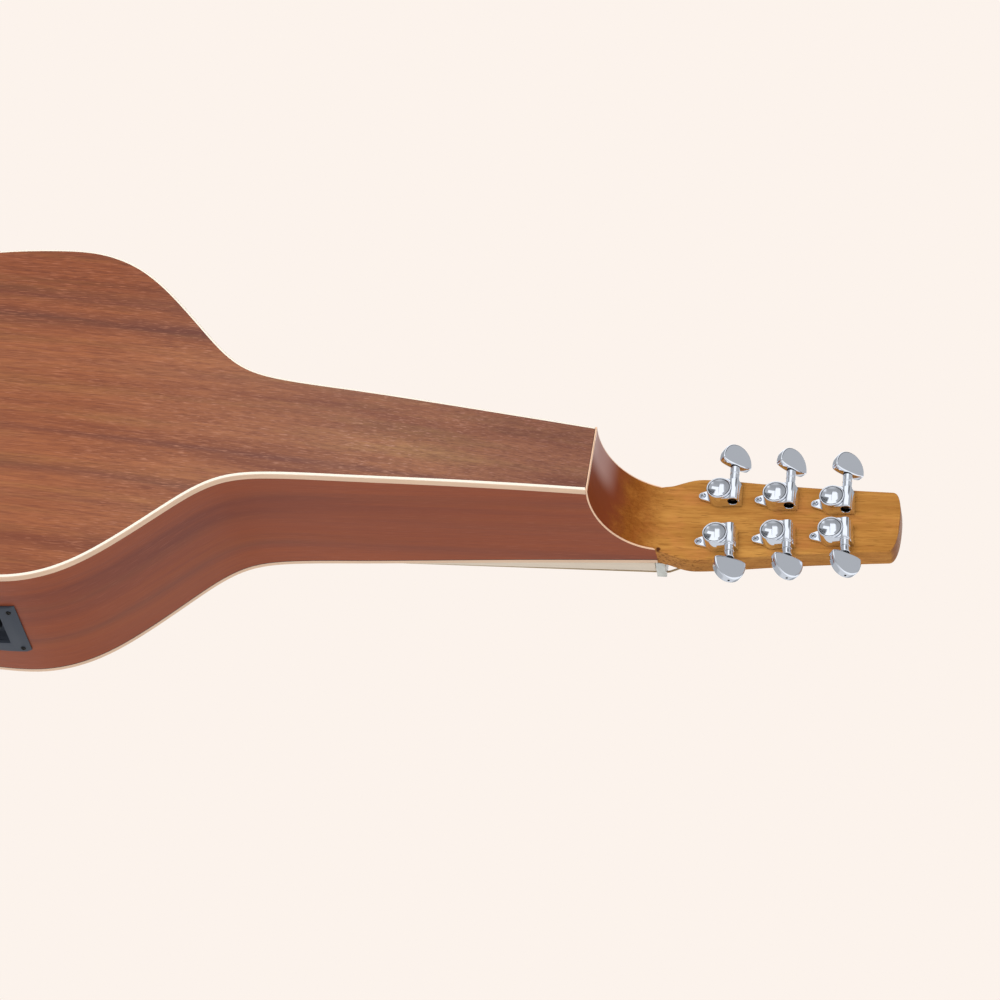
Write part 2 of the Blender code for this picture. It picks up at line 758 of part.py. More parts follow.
def make_neck(body, head):
    """Head block, concave heel and head in one piece, bored for the string posts."""
    block_top = -TOP_THICKNESS - GAP
    back_clear = back_height(HEEL_X) + HEEL_STRIP_HEIGHT + GAP
    sections = []
    for x in (-HEAD_BLOCK_LENGTH, HEEL_X):
        low = max(back_clear, clear_of_back(x))
        sections.append(block_section(x, low, block_top))
    curve = [point for point in reversed(heel_curve(0)) if point[1] > back_clear + GAP]
    sections.append(block_section(HEEL_X + 1e-5, back_clear, block_top))
    for x, z in curve:
        sections.append(block_section(x + 1e-5, z, block_top))
    sections.append(block_section(TOE_OVERLAP, scoop_height(TOE_OVERLAP) + GAP, block_top))
    block = piece("neck_heel_headstock", loft_mesh(sections), "head_wood", body)

    stations = [0, 2.5 * MM] + [x for x, _ in HEAD_OUTLINE]
    arc_from = HEAD_LENGTH - HEAD_TIP_ARC
    for step in range(HEAD_TIP_STEPS):
        angle = math.pi / 2 * step / HEAD_TIP_STEPS
        stations.append(arc_from + HEAD_TIP_ARC * math.sin(angle) ** (2 / HEAD_TIP_SQUARENESS))
    bass = [(x, head_half_width(x)) for x in stations]
    outline = bass + [(HEAD_LENGTH, 0)] + [(x, -half) for x, half in reversed(bass)]
    plate = piece(
        "head_tool", prism_mesh(outline, 0, HEAD_THICKNESS), "head_wood", head
    )
    toe = []
    scoop_end = HEEL_X + SCOOP_LENGTH
    half = NUT_HALF_WIDTH - GAP / 2
    for x in (0.0, scoop_end / 2, scoop_end + TOE_OVERLAP):
        low = scoop_height(x) if x < scoop_end else head_back_height(x) + GAP
        high = head_back_height(x) + 3 * MM
        toe.append([(x, half, low), (x, half, high), (x, -half, high), (x, -half, low)])
    toe_piece = piece("heel_toe_tool", loft_mesh(toe), "head_wood", body)
    boolean(block, plate, "UNION")
    boolean(block, toe_piece, "UNION")
    return block


def block_section(x, low, high):
    """A section of the head block, leaning in with the sides."""
    wide_low = block_half_width(x, low)
    wide_high = block_half_width(x, high)
    return [(x, wide_low, low), (x, wide_high, high), (x, -wide_high, high), (x, -wide_low, low)]


def make_tail_block(body):
    """Block inside the tail that the sides are glued to and the jack goes through."""
    depth = RIB_THICKNESS + GAP
    runs = edge_runs(run_off_centre(TAIL_BLOCK_HALF_WIDTH), EDGE_RUN[-1])
    bass = [edge_place(run, depth) for run in runs]
    inner_x = TAIL_X + TAIL_BLOCK_LENGTH
    outline = [(inner_x, bass[0][1])] + bass
    outline += [(x, -y) for x, y in reversed(bass[:-1])] + [(inner_x, -bass[0][1])]
    low = clear_of_back(TAIL_X)
    return piece("tail_block", prism_mesh(outline, low, clear_of_top(0)), "brace_wood", body)


def fingerboard_half_width(x):
    """Half width of the fingerboard with its edge strip, as straight lines from the nut."""
    return NUT_HALF_WIDTH + FINGERBOARD_FLARE * (NUT_FRONT_X - x)


def make_fingerboard(body):
    """Fingerboard, the pale strip round three of its edges, and the raised nut."""
    front = NUT_FRONT_X - GAP
    end = -FINGERBOARD_LENGTH
    low = GAP
    high = GAP + FINGERBOARD_THICKNESS
    strip_in = FINGERBOARD_STRIP + GAP
    inner_end = end + strip_in
    outline = [
        (front, fingerboard_half_width(front) - strip_in),
        (inner_end, fingerboard_half_width(inner_end) - strip_in),
        (inner_end, strip_in - fingerboard_half_width(inner_end)),
        (front, strip_in - fingerboard_half_width(front)),
    ]
    piece("fingerboard", prism_mesh(outline, low, high), "dark_wood", body)
    sections = []
    corner = end + FINGERBOARD_STRIP
    rows = [
        ((front, 1, 0), (front, 1, 1)),
        ((end, 1, 0), (corner, 1, 1)),
        ((end, -1, 0), (corner, -1, 1)),
        ((front, -1, 0), (front, -1, 1)),
    ]
    for row in rows:
        section = []
        for x, side, inset in row:
            y = side * (fingerboard_half_width(x) - inset * FINGERBOARD_STRIP)
            section += [(x, y, low), (x, y, high)]
        sections.append([section[0], section[1], section[3], section[2]])
    piece("fingerboard_binding", loft_mesh(sections), "cream_strip", body)

    profile = [(NUT_HALF_WIDTH - GAP / 3, GAP), (NUT_HALF_WIDTH - GAP / 3, NUT_TOP - 1 * MM)]
    profile.append((NUT_HALF_WIDTH - 1 * MM, NUT_TOP))
    for index, radius in enumerate(STRING_RADII):
        across = string_across(index, STRING_SPREAD_NUT)
        side = radius + GAP
        bottom = string_height_nut(index) - side
        profile += [(across + side, NUT_TOP), (across + side, bottom)]
        profile += [(across - side, bottom), (across - side, NUT_TOP)]
    profile += [(1 * MM - NUT_HALF_WIDTH, NUT_TOP)]
    profile += [(GAP / 3 - NUT_HALF_WIDTH, NUT_TOP - 1 * MM), (GAP / 3 - NUT_HALF_WIDTH, GAP)]
    bm = prism_mesh([(y, z) for y, z in profile], NUT_FRONT_X, NUT_BEHIND)
    for vert in bm.verts:
        vert.co = Vector((vert.co.z, vert.co.x, vert.co.y))
    piece("nut", bm, "bone", body)


def string_height_nut(index):
    """Height of a string's middle in its nut slot, its upper side level with the nut."""
    return NUT_TOP - STRING_RADII[index]


def bridge_sections():
    """Sections along Y of the bridge: a tall middle and two tapered wings."""
    middle = BRIDGE_MIDDLE_HALF_WIDTH
    slope = middle + 10 * MM
    tip = BRIDGE_HALF_WIDTH
    centre = SADDLE_X - BRIDGE_LENGTH / 6
    rows = []
    for y, height, length in (
        (tip, BRIDGE_WING_HEIGHT * 0.6, BRIDGE_TIP_LENGTH),
        (slope, BRIDGE_WING_HEIGHT, BRIDGE_LENGTH * 0.72),
        (middle, BRIDGE_HEIGHT, BRIDGE_LENGTH),
    ):
        rows.append((y, height, length))
    rows += [(-y, height, length) for y, height, length in reversed(rows)]
    sections = []
    for y, height, length in rows:
        front = centre + length / 2
        rear = centre - length / 2
        sections.append([(front, y, GAP), (front, y, height), (rear, y, height), (rear, y, GAP)])
    return sections


def make_bridge(body, soundboard):
    """Bridge, saddle, pins and the plate under the top, all bored for the strings."""
    bridge = piece("bridge", loft_mesh(bridge_sections()), "dark_wood", body)
    slot_floor = BRIDGE_HEIGHT - SADDLE_SLOT_DEPTH
    slot = box_mesh(
        (SADDLE_X - SADDLE_THICKNESS / 2, -SADDLE_HALF_WIDTH - GAP, slot_floor),
        (SADDLE_X + SADDLE_THICKNESS / 2, SADDLE_HALF_WIDTH + GAP, 2 * BRIDGE_HEIGHT),
    )
    boolean(bridge, piece("saddle_slot_cutter", slot, "dark_wood", body))
    half = SADDLE_THICKNESS / 2 - GAP
    saddle = box_mesh(
        (SADDLE_X - half, -SADDLE_HALF_WIDTH, slot_floor + GAP),
        (SADDLE_X + half, SADDLE_HALF_WIDTH, SADDLE_TOP),
    )
    piece("saddle", saddle, "bone", body)

    under_top = clear_of_top(0)
    plate_low = under_top - BRIDGE_PLATE_THICKNESS
    plate = box_mesh(
        (PIN_X - BRIDGE_PLATE_LENGTH / 2, -BRIDGE_PLATE_HALF_WIDTH, plate_low),
        (PIN_X + BRIDGE_PLATE_LENGTH / 2, BRIDGE_PLATE_HALF_WIDTH, under_top),
    )
    bridge_plate = piece("bridge_plate", plate, "brace_wood", body)

    for index, radius in enumerate(STRING_RADII):
        across = string_across(index, STRING_SPREAD_BRIDGE)
        hole_radius = (2 * PIN_RADIUS + 2 * radius + 3 * GAP) / 2
        hole = cylinder_mesh(hole_radius, 2 * plate_low, 2 * BRIDGE_HEIGHT, PIN_SIDES)
        centre = PIN_X - PIN_RADIUS - GAP + hole_radius
        place = (centre, across, 0)
        cutter = piece(f"pin_hole_cutter_{index + 1}", hole, "dark_wood", body, place)
        for target in (bridge, soundboard, bridge_plate):
            boolean(target, cutter)
        rise = BRIDGE_HEIGHT + PIN_HEAD_RISE
        profile = [
            (0, plate_low),
            (PIN_RADIUS * 0.8, plate_low),
            (PIN_RADIUS, plate_low + 3 * MM),
            (PIN_RADIUS, rise),
            (PIN_HEAD_RADIUS, rise),
            (PIN_HEAD_RADIUS, rise + PIN_HEAD_HEIGHT * 0.4),
            (PIN_HEAD_RADIUS * 0.6, rise + PIN_HEAD_HEIGHT),
            (0, rise + PIN_HEAD_HEIGHT * 1.1),
        ]
        pin = turned_mesh(profile, PIN_SIDES)
        place = (PIN_X, across, 0)
        piece(f"bridge_pin_{index + 1}", pin, "bone", body, place, smooth=40)
    return bridge


def post_place(side, number):
    """Place of a string post in the head frame; side is 'bass' or 'treble', number 1 to 3."""
    share = (number - 1) / 2
    out = FIRST_TUNER_OUT + (LAST_TUNER_OUT - FIRST_TUNER_OUT) * share
    sign = 1 if side == "bass" else -1
    return FIRST_TUNER_AT + sign * TUNER_STAGGER + TUNER_STEP * (number - 1), sign * out


def post_of_string(index):
    """Which post a string goes to: the outer strings to the nearest posts."""
    if index < 3:
        return "bass", index + 1
    return "treble", 6 - index


def head_to_body(point):
    """A point of the head frame, in the body frame."""
    turned = Matrix.Rotation(HEAD_TILT, 3, "Y") @ Vector(point)
    return turned + Vector((0, 0, -HEAD_DROP))


def body_to_head(point):
    """A point of the body frame, in the head frame."""
    return Matrix.Rotation(-HEAD_TILT, 3, "Y") @ (Vector(point) + Vector((0, 0, HEAD_DROP)))


def winding(index):
    """A string's turns round its post, upwards from where it arrives, in the body frame."""
    radius = STRING_RADII[index]
    side, number = post_of_string(index)
    post_x, post_y = post_place(side, number)
    sign = 1 if side == "bass" else -1
    reach = POST_RADIUS + RUN + radius
    last_x = NUT_BEHIND + 1 * MM
    start = body_to_head((last_x, string_across(index, STRING_SPREAD_NUT), string_height_nut(index)))
    away_x = start.x - post_x
    away_y = start.y - post_y
    distance = math.hypot(away_x, away_y)
    heading = math.atan2(away_y, away_x)
    tangent = heading + sign * math.acos(reach / distance)
    low = HEAD_THICKNESS + WINDING_RISE
    rise_per_turn = 2 * radius + STRING_TURN_GAP
    points = []
    for step in range(STRING_TURNS * STRING_LOOP_POINTS + 1):
        turn = tangent + sign * 2 * math.pi * step / STRING_LOOP_POINTS
        rise = low + rise_per_turn * step / STRING_LOOP_POINTS
        x = post_x + reach * math.cos(turn)
        y = post_y + reach * math.sin(turn)
        points.append(head_to_body((x, y, rise)))
    return points


def least_gap(points, radius):
    """Least distance between the surfaces of neighbouring turns."""
    least = 1.0
    apart = STRING_LOOP_POINTS // 2
    for first in range(len(points)):
        for second in range(first + apart, len(points)):
            least = min(least, (points[first] - points[second]).length)
    return least - 2 * radius


def string_route(index):
    """A string's whole route from its ball under the bridge to the top of its winding."""
    radius = STRING_RADII[index]
    at_bridge = string_across(index, STRING_SPREAD_BRIDGE)
    at_nut = string_across(index, STRING_SPREAD_NUT)
    hole_x = PIN_X + PIN_RADIUS + GAP + radius
    plate_low = clear_of_top(0) - BRIDGE_PLATE_THICKNESS
    over_saddle = SADDLE_TOP + GAP + radius
    behind_saddle = SADDLE_X - SADDLE_THICKNESS / 2
    entry = BRIDGE_HEIGHT + GAP + radius
    ball_top = plate_low - GAP
    turns = winding(index)
    route = [
        (Vector((hole_x, at_bridge, ball_top - BALL_LENGTH)), BALL_RADIUS * 0.6),
        (Vector((hole_x, at_bridge, ball_top - BALL_LENGTH * 0.8)), BALL_RADIUS),
        (Vector((hole_x, at_bridge, ball_top - BALL_LENGTH * 0.2)), BALL_RADIUS),
        (Vector((hole_x, at_bridge, ball_top)), BALL_RADIUS * 0.6),
        (Vector((hole_x, at_bridge, ball_top + GAP)), radius),
        (Vector((hole_x, at_bridge, entry - 0.9 * MM)), radius),
        (Vector((hole_x + 0.3 * MM, at_bridge, entry)), radius),
        (Vector((hole_x + 1.2 * MM, at_bridge, entry + 0.8 * MM)), radius),
        (Vector((behind_saddle - 1.5 * MM, at_bridge, over_saddle - 1.2 * MM)), radius),
        (Vector((behind_saddle - 0.2 * MM, at_bridge, over_saddle - 0.1 * MM)), radius),
        (Vector((SADDLE_X, at_bridge, over_saddle)), radius),
        (Vector((NUT_FRONT_X, at_nut, string_height_nut(index))), radius),
        (Vector((NUT_BEHIND, at_nut, string_height_nut(index))), radius),
    ]
    leave = Vector((NUT_BEHIND + 1 * MM, at_nut, string_height_nut(index)))
    first = turns[0]
    soft = leave + (first - leave) * 0.02
    route.append((soft, radius))
    route += [(point, radius) for point in turns]
    return route, turns


def make_strings(body):
    """Six strings, each one tube from its ball to its post."""
    least = 1.0
    for index, radius in enumerate(STRING_RADII):
        route, turns = string_route(index)
        least = min(least, least_gap(turns, radius))
        name = f"string_{index + 1}"
        curve = bpy.data.curves.new(name, "CURVE")
        curve.dimensions = "3D"
        curve.twist_mode = "MINIMUM"
        curve.bevel_depth = radius
        curve.bevel_resolution = 1
        curve.use_fill_caps = True
        spline = curve.splines.new("POLY")
        spline.points.add(len(route) - 1)
        for point, (place, thickness) in zip(spline.points, route):
            point.co = (*place, 1)
            point.radius = thickness / radius
        curve.materials.append(material("steel"))
        made = bpy.data.objects.new(name, curve)
        bpy.context.scene.collection.objects.link(made)
        made.parent = body
    print(f"least gap between string turns: {least / MM:.2f} mm")


def make_top_braces(body):
    """Crossed braces under the top."""
    high = clear_of_top(0)
    low = high - BRACE_HEIGHT
    bars = []
    for name, angle in (("x_brace", X_BRACE_ANGLE), ("x_brace_tool", -X_BRACE_ANGLE)):
        bar = box_mesh(
            (-X_BRACE_REAR / math.sin(X_BRACE_ANGLE), -BRACE_WIDTH / 2, low),
            (X_BRACE_FRONT / math.sin(X_BRACE_ANGLE), BRACE_WIDTH / 2, high),
        )
        place = (-X_BRACE_AT, 0, 0)
        bars.append(piece(name, bar, "brace_wood", body, place, (0, 0, angle)))
    boolean(bars[0], bars[1], "UNION")


def make_back_braces(body):
    """Bars across the back, between the linings."""
    for name, along in BACK_BRACES_AT.items():
        front = -along + BRACE_WIDTH / 2
        rear = -along - BRACE_WIDTH / 2
        low = max(clear_of_back(front), clear_of_back(rear))
        depth = side_inset(front, low) + RIB_THICKNESS + LINING_WIDTH + 3 * GAP
        reach = min(half_width(front, depth), half_width(rear, depth), half_width(-along, depth))
        bar = box_mesh((rear, -reach, low), (front, reach, low + BRACE_HEIGHT))
        piece(name, bar, "brace_wood", body)


def housing_mesh():
    """Round gear case with its dished cover, standing on the back of the head."""
    floor = -GAP
    rim = -HOUSING_HEIGHT
    return turned_mesh(
        [
            (HOUSING_RADIUS, floor),
            (HOUSING_RADIUS, rim + 0.5 * MM),
            (HOUSING_RADIUS - 0.5 * MM, rim),
            (HOUSING_RADIUS - DISH_RIM - 0.3 * MM, rim),
            (HOUSING_RADIUS - DISH_RIM - 1.0 * MM, rim + DISH_DEPTH * 0.6),
            (0, rim + DISH_DEPTH),
        ],
        HOUSING_SIDES,
    )


def along_y(bm):
    """Lay a mesh that was made along Z along Y."""
    return turn_mesh(bm, -math.pi / 2, "X")


def make_tuner(head, side, number):
    """One tuner: case, key with its button, and string post with its gear."""
    sign = 1 if side == "bass" else -1
    post_x, post_y = post_place(side, number)
    label = f"{side}_{number}"
    lean = TUNER_LEANS[side]
    base = empty(f"tuner_base_{label}", head, (post_x, post_y, 0), (0, 0, lean))
    floor = -GAP

    case = piece(f"tuner_housing_{label}", housing_mesh(), "chrome", base, smooth=35)
    block_low = (1 * MM, -HOUSING_BLOCK_HALF, -HOUSING_HEIGHT + HOUSING_BLOCK_DROP)
    block_high = (WORM_OUT + WORM_TUBE_RADIUS - 0.4 * MM, HOUSING_BLOCK_HALF, floor)
    block = piece(f"tuner_block_tool_{label}", box_mesh(block_low, block_high), "chrome", base)
    inner = -sign * (HOUSING_BLOCK_HALF + GAP)
    outer = sign * WORM_TUBE_REACH
    tube = along_y(
        cylinder_mesh(WORM_TUBE_RADIUS, min(inner, outer), max(inner, outer), ROUND_SIDES)
    )
    worm_place = (WORM_OUT, 0, -WORM_HEIGHT)
    tube_tool = piece(f"tuner_tube_tool_{label}", tube, "chrome", base, worm_place)
    ear = prism_mesh(ear_points(), -EAR_THICKNESS, floor)
    ear_tool = piece(f"tuner_ear_tool_{label}", ear, "chrome", base)
    for tool in (block, tube_tool, ear_tool):
        boolean(case, tool, "UNION")

    cavity_top = -HOUSING_HEIGHT + DISH_DEPTH + HOUSING_WALL
    cavity = cylinder_mesh(HOUSING_RADIUS - HOUSING_WALL, cavity_top, 1 * MM, HOUSING_SIDES)
    cavity_tool = piece(f"tuner_cavity_cutter_{label}", cavity, "chrome", base)
    bore_from = inner - sign * 1 * MM
    bore_to = outer + sign * 1 * MM
    bore = along_y(
        cylinder_mesh(
            WORM_RADIUS + RUN, min(bore_from, bore_to), max(bore_from, bore_to), ROUND_SIDES
        )
    )
    bore_tool = piece(f"tuner_bore_cutter_{label}", bore, "chrome", base, worm_place)
    boolean(case, cavity_tool)
    boolean(case, bore_tool)

    gear_low = -WORM_HEIGHT - GEAR_THICKNESS / 2
    gear_high = -WORM_HEIGHT + GEAR_THICKNESS / 2
    top = HEAD_THICKNESS + POST_RISE
    post = turned_mesh(
        [
            (0, gear_low + GEAR_THICKNESS / 2),
            (POST_RADIUS, gear_low + GEAR_THICKNESS / 2),
            (POST_RADIUS, top - 1 * MM),
            (POST_RADIUS - 1 * MM, top),
            (0, top),
        ],
        ROUND_SIDES,
    )
    post_piece = piece(f"tuner_post_{label}", post, "chrome", base, smooth=40)
    teeth = []
    for tooth in range(2 * GEAR_TEETH):
        turn = math.pi * tooth / GEAR_TEETH
        reach = GEAR_RADIUS if tooth % 2 == 0 else GEAR_RADIUS - 1.1 * MM
        teeth.append((reach * math.cos(turn), reach * math.sin(turn)))
    gear = piece(
        f"tuner_gear_tool_{label}", prism_mesh(teeth, gear_low, gear_high), "chrome", base
    )
    boolean(post_piece, gear, "UNION")

    shaft_inner = -sign * (HOUSING_RADIUS - 1.2 * MM)
    neck = sign * (WORM_TUBE_REACH + GAP)
    button_from = sign * BUTTON_AT
    profile = [
        (0, shaft_inner),
        (WORM_RADIUS, shaft_inner),
        (WORM_RADIUS, sign * (HOUSING_RADIUS - 1 * MM)),
        (SHAFT_RADIUS, sign * HOUSING_RADIUS),
        (SHAFT_RADIUS, neck),
        (SHAFT_RADIUS + 0.9 * MM, neck),
        (SHAFT_RADIUS + 0.9 * MM, button_from + sign * 2 * MM),
        (0, button_from + sign * 2 * MM),
    ]
    if sign < 0:
        profile = [(radius, height) for radius, height in reversed(profile)]
    turn = BUTTON_TURNS[(side, number)]
    shaft = along_y(turned_mesh(profile, ROUND_SIDES))
    key = piece(
        f"tuner_key_{label}", shaft, "chrome", base, worm_place, (0, turn, 0), smooth=35
    )
    button = button_mesh(sign)
    button_tool = piece(
        f"tuner_button_tool_{label}", button, "chrome", base, worm_place, (0, turn, 0)
    )
    boolean(key, button_tool, "UNION")


def ear_points():
    """Outline of the ear that points to the nut: from the case to a round end about its screw."""
    points = []
    for step in range(EAR_STEPS + 1):
        turn = math.pi / 2 + math.pi * step / EAR_STEPS
        points.append((EAR_RADIUS * math.cos(turn) - EAR_SCREW_AT, EAR_RADIUS * math.sin(turn)))
    points.append((0, -EAR_ROOT_HALF_WIDTH))
    points.append((0, EAR_ROOT_HALF_WIDTH))
    return points


def button_mesh(sign):
    """Half-moon button: flat towards the case, round outside, its faces crowned by a bevel."""
    low = BUTTON_AT
    outline = []
    corner = BUTTON_CORNER
    for step in range(BUTTON_STEPS + 1):
        turn = math.pi * step / BUTTON_STEPS
        x = BUTTON_HALF_LENGTH * math.cos(turn)
        y = low + corner + (BUTTON_HEIGHT - corner) * math.sin(turn) ** 0.9
        outline.append((x, sign * y))
    outline.append((-BUTTON_HALF_LENGTH + corner, sign * low))
    outline.append((BUTTON_HALF_LENGTH - corner, sign * low))
    half = BUTTON_THICKNESS / 2
    edge = half - 1.2 * MM
    middle_y = sign * (low + BUTTON_HEIGHT / 2)
    sections = []
    for height, scale in ((-half, 0.86), (-edge, 1), (edge, 1), (half, 0.86)):
        section = [(x * scale, middle_y + (y - middle_y) * scale, height) for x, y in outline]
        sections.append(section)
    return loft_mesh(sections)


def preamp_frame(body):
    """Frame on the bass side where the preamp sits: X along the side, Z up, Y out."""
    middle = run_at(-PREAMP_AT)
    inset = side_inset(-PREAMP_AT, PREAMP_Z)
    before = edge_place(middle - PREAMP_LENGTH / 2, inset)
    after = edge_place(middle + PREAMP_LENGTH / 2, inset)
    turn = math.atan2(before[1] - after[1], before[0] - after[0])
    place = (*edge_place(middle, inset), PREAMP_Z)
    return empty("preamp_place", body, place, (0, 0, turn))


def make_preamp(body, rib):
    """Preamp panel that follows the side, its box inside, and its knob and sliders."""
    place = preamp_frame(body)
    middle = run_at(-PREAMP_AT)
    runs = []
    for step in range(PREAMP_STEPS + 1):
        runs.append(middle + PREAMP_LENGTH * (step / PREAMP_STEPS - 0.5))
    low = PREAMP_Z - PREAMP_WIDTH / 2
    high = PREAMP_Z + PREAMP_WIDTH / 2
    sections = strip_sections(runs, -PREAMP_PROUD, -GAP, lambda x: low, lambda x: high)
    bevelled = []
    slope = 1.2 * MM
    for index, section in enumerate(sections):
        corners = [list(corner) for corner in section]
        corners[0][2] += slope
        corners[1][2] -= slope
        bevelled.append([tuple(corner) for corner in corners])
    housing = piece("preamp_housing", loft_mesh(bevelled), "black_plastic", body)
    half_long = PREAMP_LENGTH / 2 - PREAMP_FLANGE
    half_wide = PREAMP_WIDTH / 2 - PREAMP_FLANGE
    inner = box_mesh((-half_long, -PREAMP_DEPTH, -half_wide), (half_long, -1.2 * MM, half_wide))
    inner_tool = piece("preamp_box_tool", inner, "black_plastic", place)
    boolean(housing, inner_tool, "UNION")
    floor = -POCKET_DEPTH
    pocket = box_mesh(
        (-POCKET_LENGTH / 2, floor, -POCKET_WIDTH / 2),
        (POCKET_LENGTH / 2, 2 * PREAMP_PROUD, POCKET_WIDTH / 2),
    )
    boolean(housing, piece("preamp_pocket_cutter", pocket, "black_plastic", place))
    bottom = floor - CONTROL_DEPTH

    bore = along_y(cylinder_mesh(KNOB_SHAFT_RADIUS + RUN, -floor - 1 * MM, -bottom + GAP, 12))
    bore_place = (KNOB_ALONG, 0, 0)
    for vert in bore.verts:
        vert.co.y = -abs(vert.co.y)
    boolean(housing, piece("knob_bore_cutter", bore, "black_plastic", place, bore_place))
    knob = turned_mesh(
        [
            (0, -CONTROL_DEPTH),
            (KNOB_SHAFT_RADIUS, -CONTROL_DEPTH),
            (KNOB_SHAFT_RADIUS, RUN),
            (KNOB_RADIUS, RUN),
            (KNOB_RADIUS, KNOB_HEIGHT * 0.8),
            (KNOB_RADIUS * 0.85, KNOB_HEIGHT),
            (0, KNOB_HEIGHT),
        ],
        18,
    )
    knob_place = (KNOB_ALONG, floor, 0)
    knob = along_y(knob)
    piece("preamp_volume_knob", knob, "black_plastic", place, knob_place, smooth=35)

    for index, name in enumerate(SLIDER_NAMES):
        along = SLIDER_FIRST_ALONG + SLIDER_STEP * index
        long_half = SLIDER_TRAVEL + SLIDER_STEM / 2 + RUN
        slot = box_mesh(
            (-SLIDER_STEM / 2 - RUN, bottom - GAP, -long_half),
            (SLIDER_STEM / 2 + RUN, floor + 1 * MM, long_half),
        )
        slot_place = (along, 0, 0)
        boolean(housing, piece(f"{name}_cutter", slot, "black_plastic", place, slot_place))
        stem = box_mesh(
            (-SLIDER_STEM / 2, -CONTROL_DEPTH, -SLIDER_STEM / 2),
            (SLIDER_STEM / 2, 2 * RUN, SLIDER_STEM / 2),
        )
        cap = box_mesh(
            (-SLIDER_CAP[0] / 2, RUN, -SLIDER_CAP[1] / 2),
            (SLIDER_CAP[0] / 2, RUN + SLIDER_CAP[2], SLIDER_CAP[1] / 2),
        )
        slider_place = (along, floor, 0)
        slider = piece(name, stem, "black_plastic", place, slider_place)
        cap_tool = piece(f"{name}_cap_tool", cap, "black_plastic", place, slider_place)
        boolean(slider, cap_tool, "UNION")

    opening = box_mesh(
        (-half_long - GAP, -2 * RIB_THICKNESS - 8 * MM, -half_wide - GAP),
        (half_long + GAP, 8 * MM, half_wide + GAP),
    )
    boolean(rib, piece("preamp_opening_cutter", opening, "side_wood", place))


def make_jack(body, ribs, block):
    """Output jack through the tail, with the strap pin's flange outside."""
    place = (TAIL_X, 0, JACK_Z)
    hole = turn_mesh(
        cylinder_mesh(JACK_BARREL_RADIUS + GAP, -1 * MM, 2 * TAIL_BLOCK_LENGTH, 16), math.pi / 2, "Y"
    )
    cutter = piece("jack_hole_cutter", hole, "steel", body, place)
    for target in (*ribs, block):
        boolean(target, cutter)
    outside = JACK_NECK_LENGTH + JACK_FLANGE_THICKNESS
    bore_end = JACK_BARREL_LENGTH - 4 * MM
    jack = turned_mesh(
        [
            (0, bore_end),
            (JACK_BORE_RADIUS, bore_end),
            (JACK_BORE_RADIUS, -outside),
            (JACK_FLANGE_RADIUS - 0.6 * MM, -outside),
            (JACK_FLANGE_RADIUS, -outside + 0.6 * MM),
            (JACK_FLANGE_RADIUS, -JACK_NECK_LENGTH),
            (JACK_NECK_RADIUS, -JACK_NECK_LENGTH),
            (JACK_NECK_RADIUS, -3 * MM),
            (JACK_FLANGE_RADIUS, -2 * MM),
            (JACK_FLANGE_RADIUS, -GAP),
            (JACK_BARREL_RADIUS, -GAP),
            (JACK_BARREL_RADIUS, JACK_BARREL_LENGTH),
            (0, JACK_BARREL_LENGTH),
        ],
        16,
    )
    piece("end_pin_jack", turn_mesh(jack, math.pi / 2, "Y"), "steel", body, place, smooth=35)


def bore_head(neck, head):
    """Holes for the six string posts."""
    for side in ("bass", "treble"):
        for number in (1, 2, 3):
            x, y = post_place(side, number)
            hole = cylinder_mesh(POST_RADIUS + RUN, -5 * MM, 2 * HEAD_THICKNESS, ROUND_SIDES)
            cutter = piece(f"post_hole_cutter_{side}_{number}", hole, "head_wood", head, (x, y, 0))
            boolean(neck, cutter)


def main():
    """Build the guitar."""
    clear_scene()
    body = empty("body_frame", None, (-CENTRE_X, 0, BODY_DEPTH))
    head = empty("head_frame", body, (0, 0, -HEAD_DROP), (0, HEAD_TILT, 0))
    soundboard = make_plates(body)
    make_edge_strips(body)
    make_heel_strip(body)
    ribs = make_sides(body)
    make_linings(body)
    neck = make_neck(body, head)
    bore_head(neck, head)
    block = make_tail_block(body)
    make_fingerboard(body)
    make_bridge(body, soundboard)
    make_strings(body)
    make_top_braces(body)
    make_back_braces(body)
    for side in ("bass", "treble"):
        for number in (1, 2, 3):
            make_tuner(head, side, number)
    make_preamp(body, ribs[0])
    make_jack(body, ribs, block)


main()
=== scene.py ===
"""Finishes and fine pieces of the hollow-necked lap slide guitar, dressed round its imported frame.

+X runs to the head, +Y to the bass side and +Z out of the top, which faces up. The body's own
measures are taken from the nut, in the plane of the top, as a maker would take them.
"""

import math

import bmesh
import bpy
import numpy as np
from mathutils import Matrix, Vector


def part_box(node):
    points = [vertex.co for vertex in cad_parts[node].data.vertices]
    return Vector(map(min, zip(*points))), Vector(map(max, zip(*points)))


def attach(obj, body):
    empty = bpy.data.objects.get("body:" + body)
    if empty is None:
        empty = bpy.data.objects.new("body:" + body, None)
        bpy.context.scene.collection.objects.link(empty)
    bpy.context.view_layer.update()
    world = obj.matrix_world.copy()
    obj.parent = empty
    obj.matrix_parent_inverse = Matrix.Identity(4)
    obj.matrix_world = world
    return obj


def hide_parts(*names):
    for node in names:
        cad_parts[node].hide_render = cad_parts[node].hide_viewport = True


bl_info = {
    "name": "Lap Slide Guitar",
    "version": (1, 0, 0),
    "blender": (4, 5, 0),
    "location": "View3D > Sidebar > Guitar",
    "description": "Dresses a hollow-necked lap slide guitar with its woods, bindings and tuners",
    "category": "Object",
}

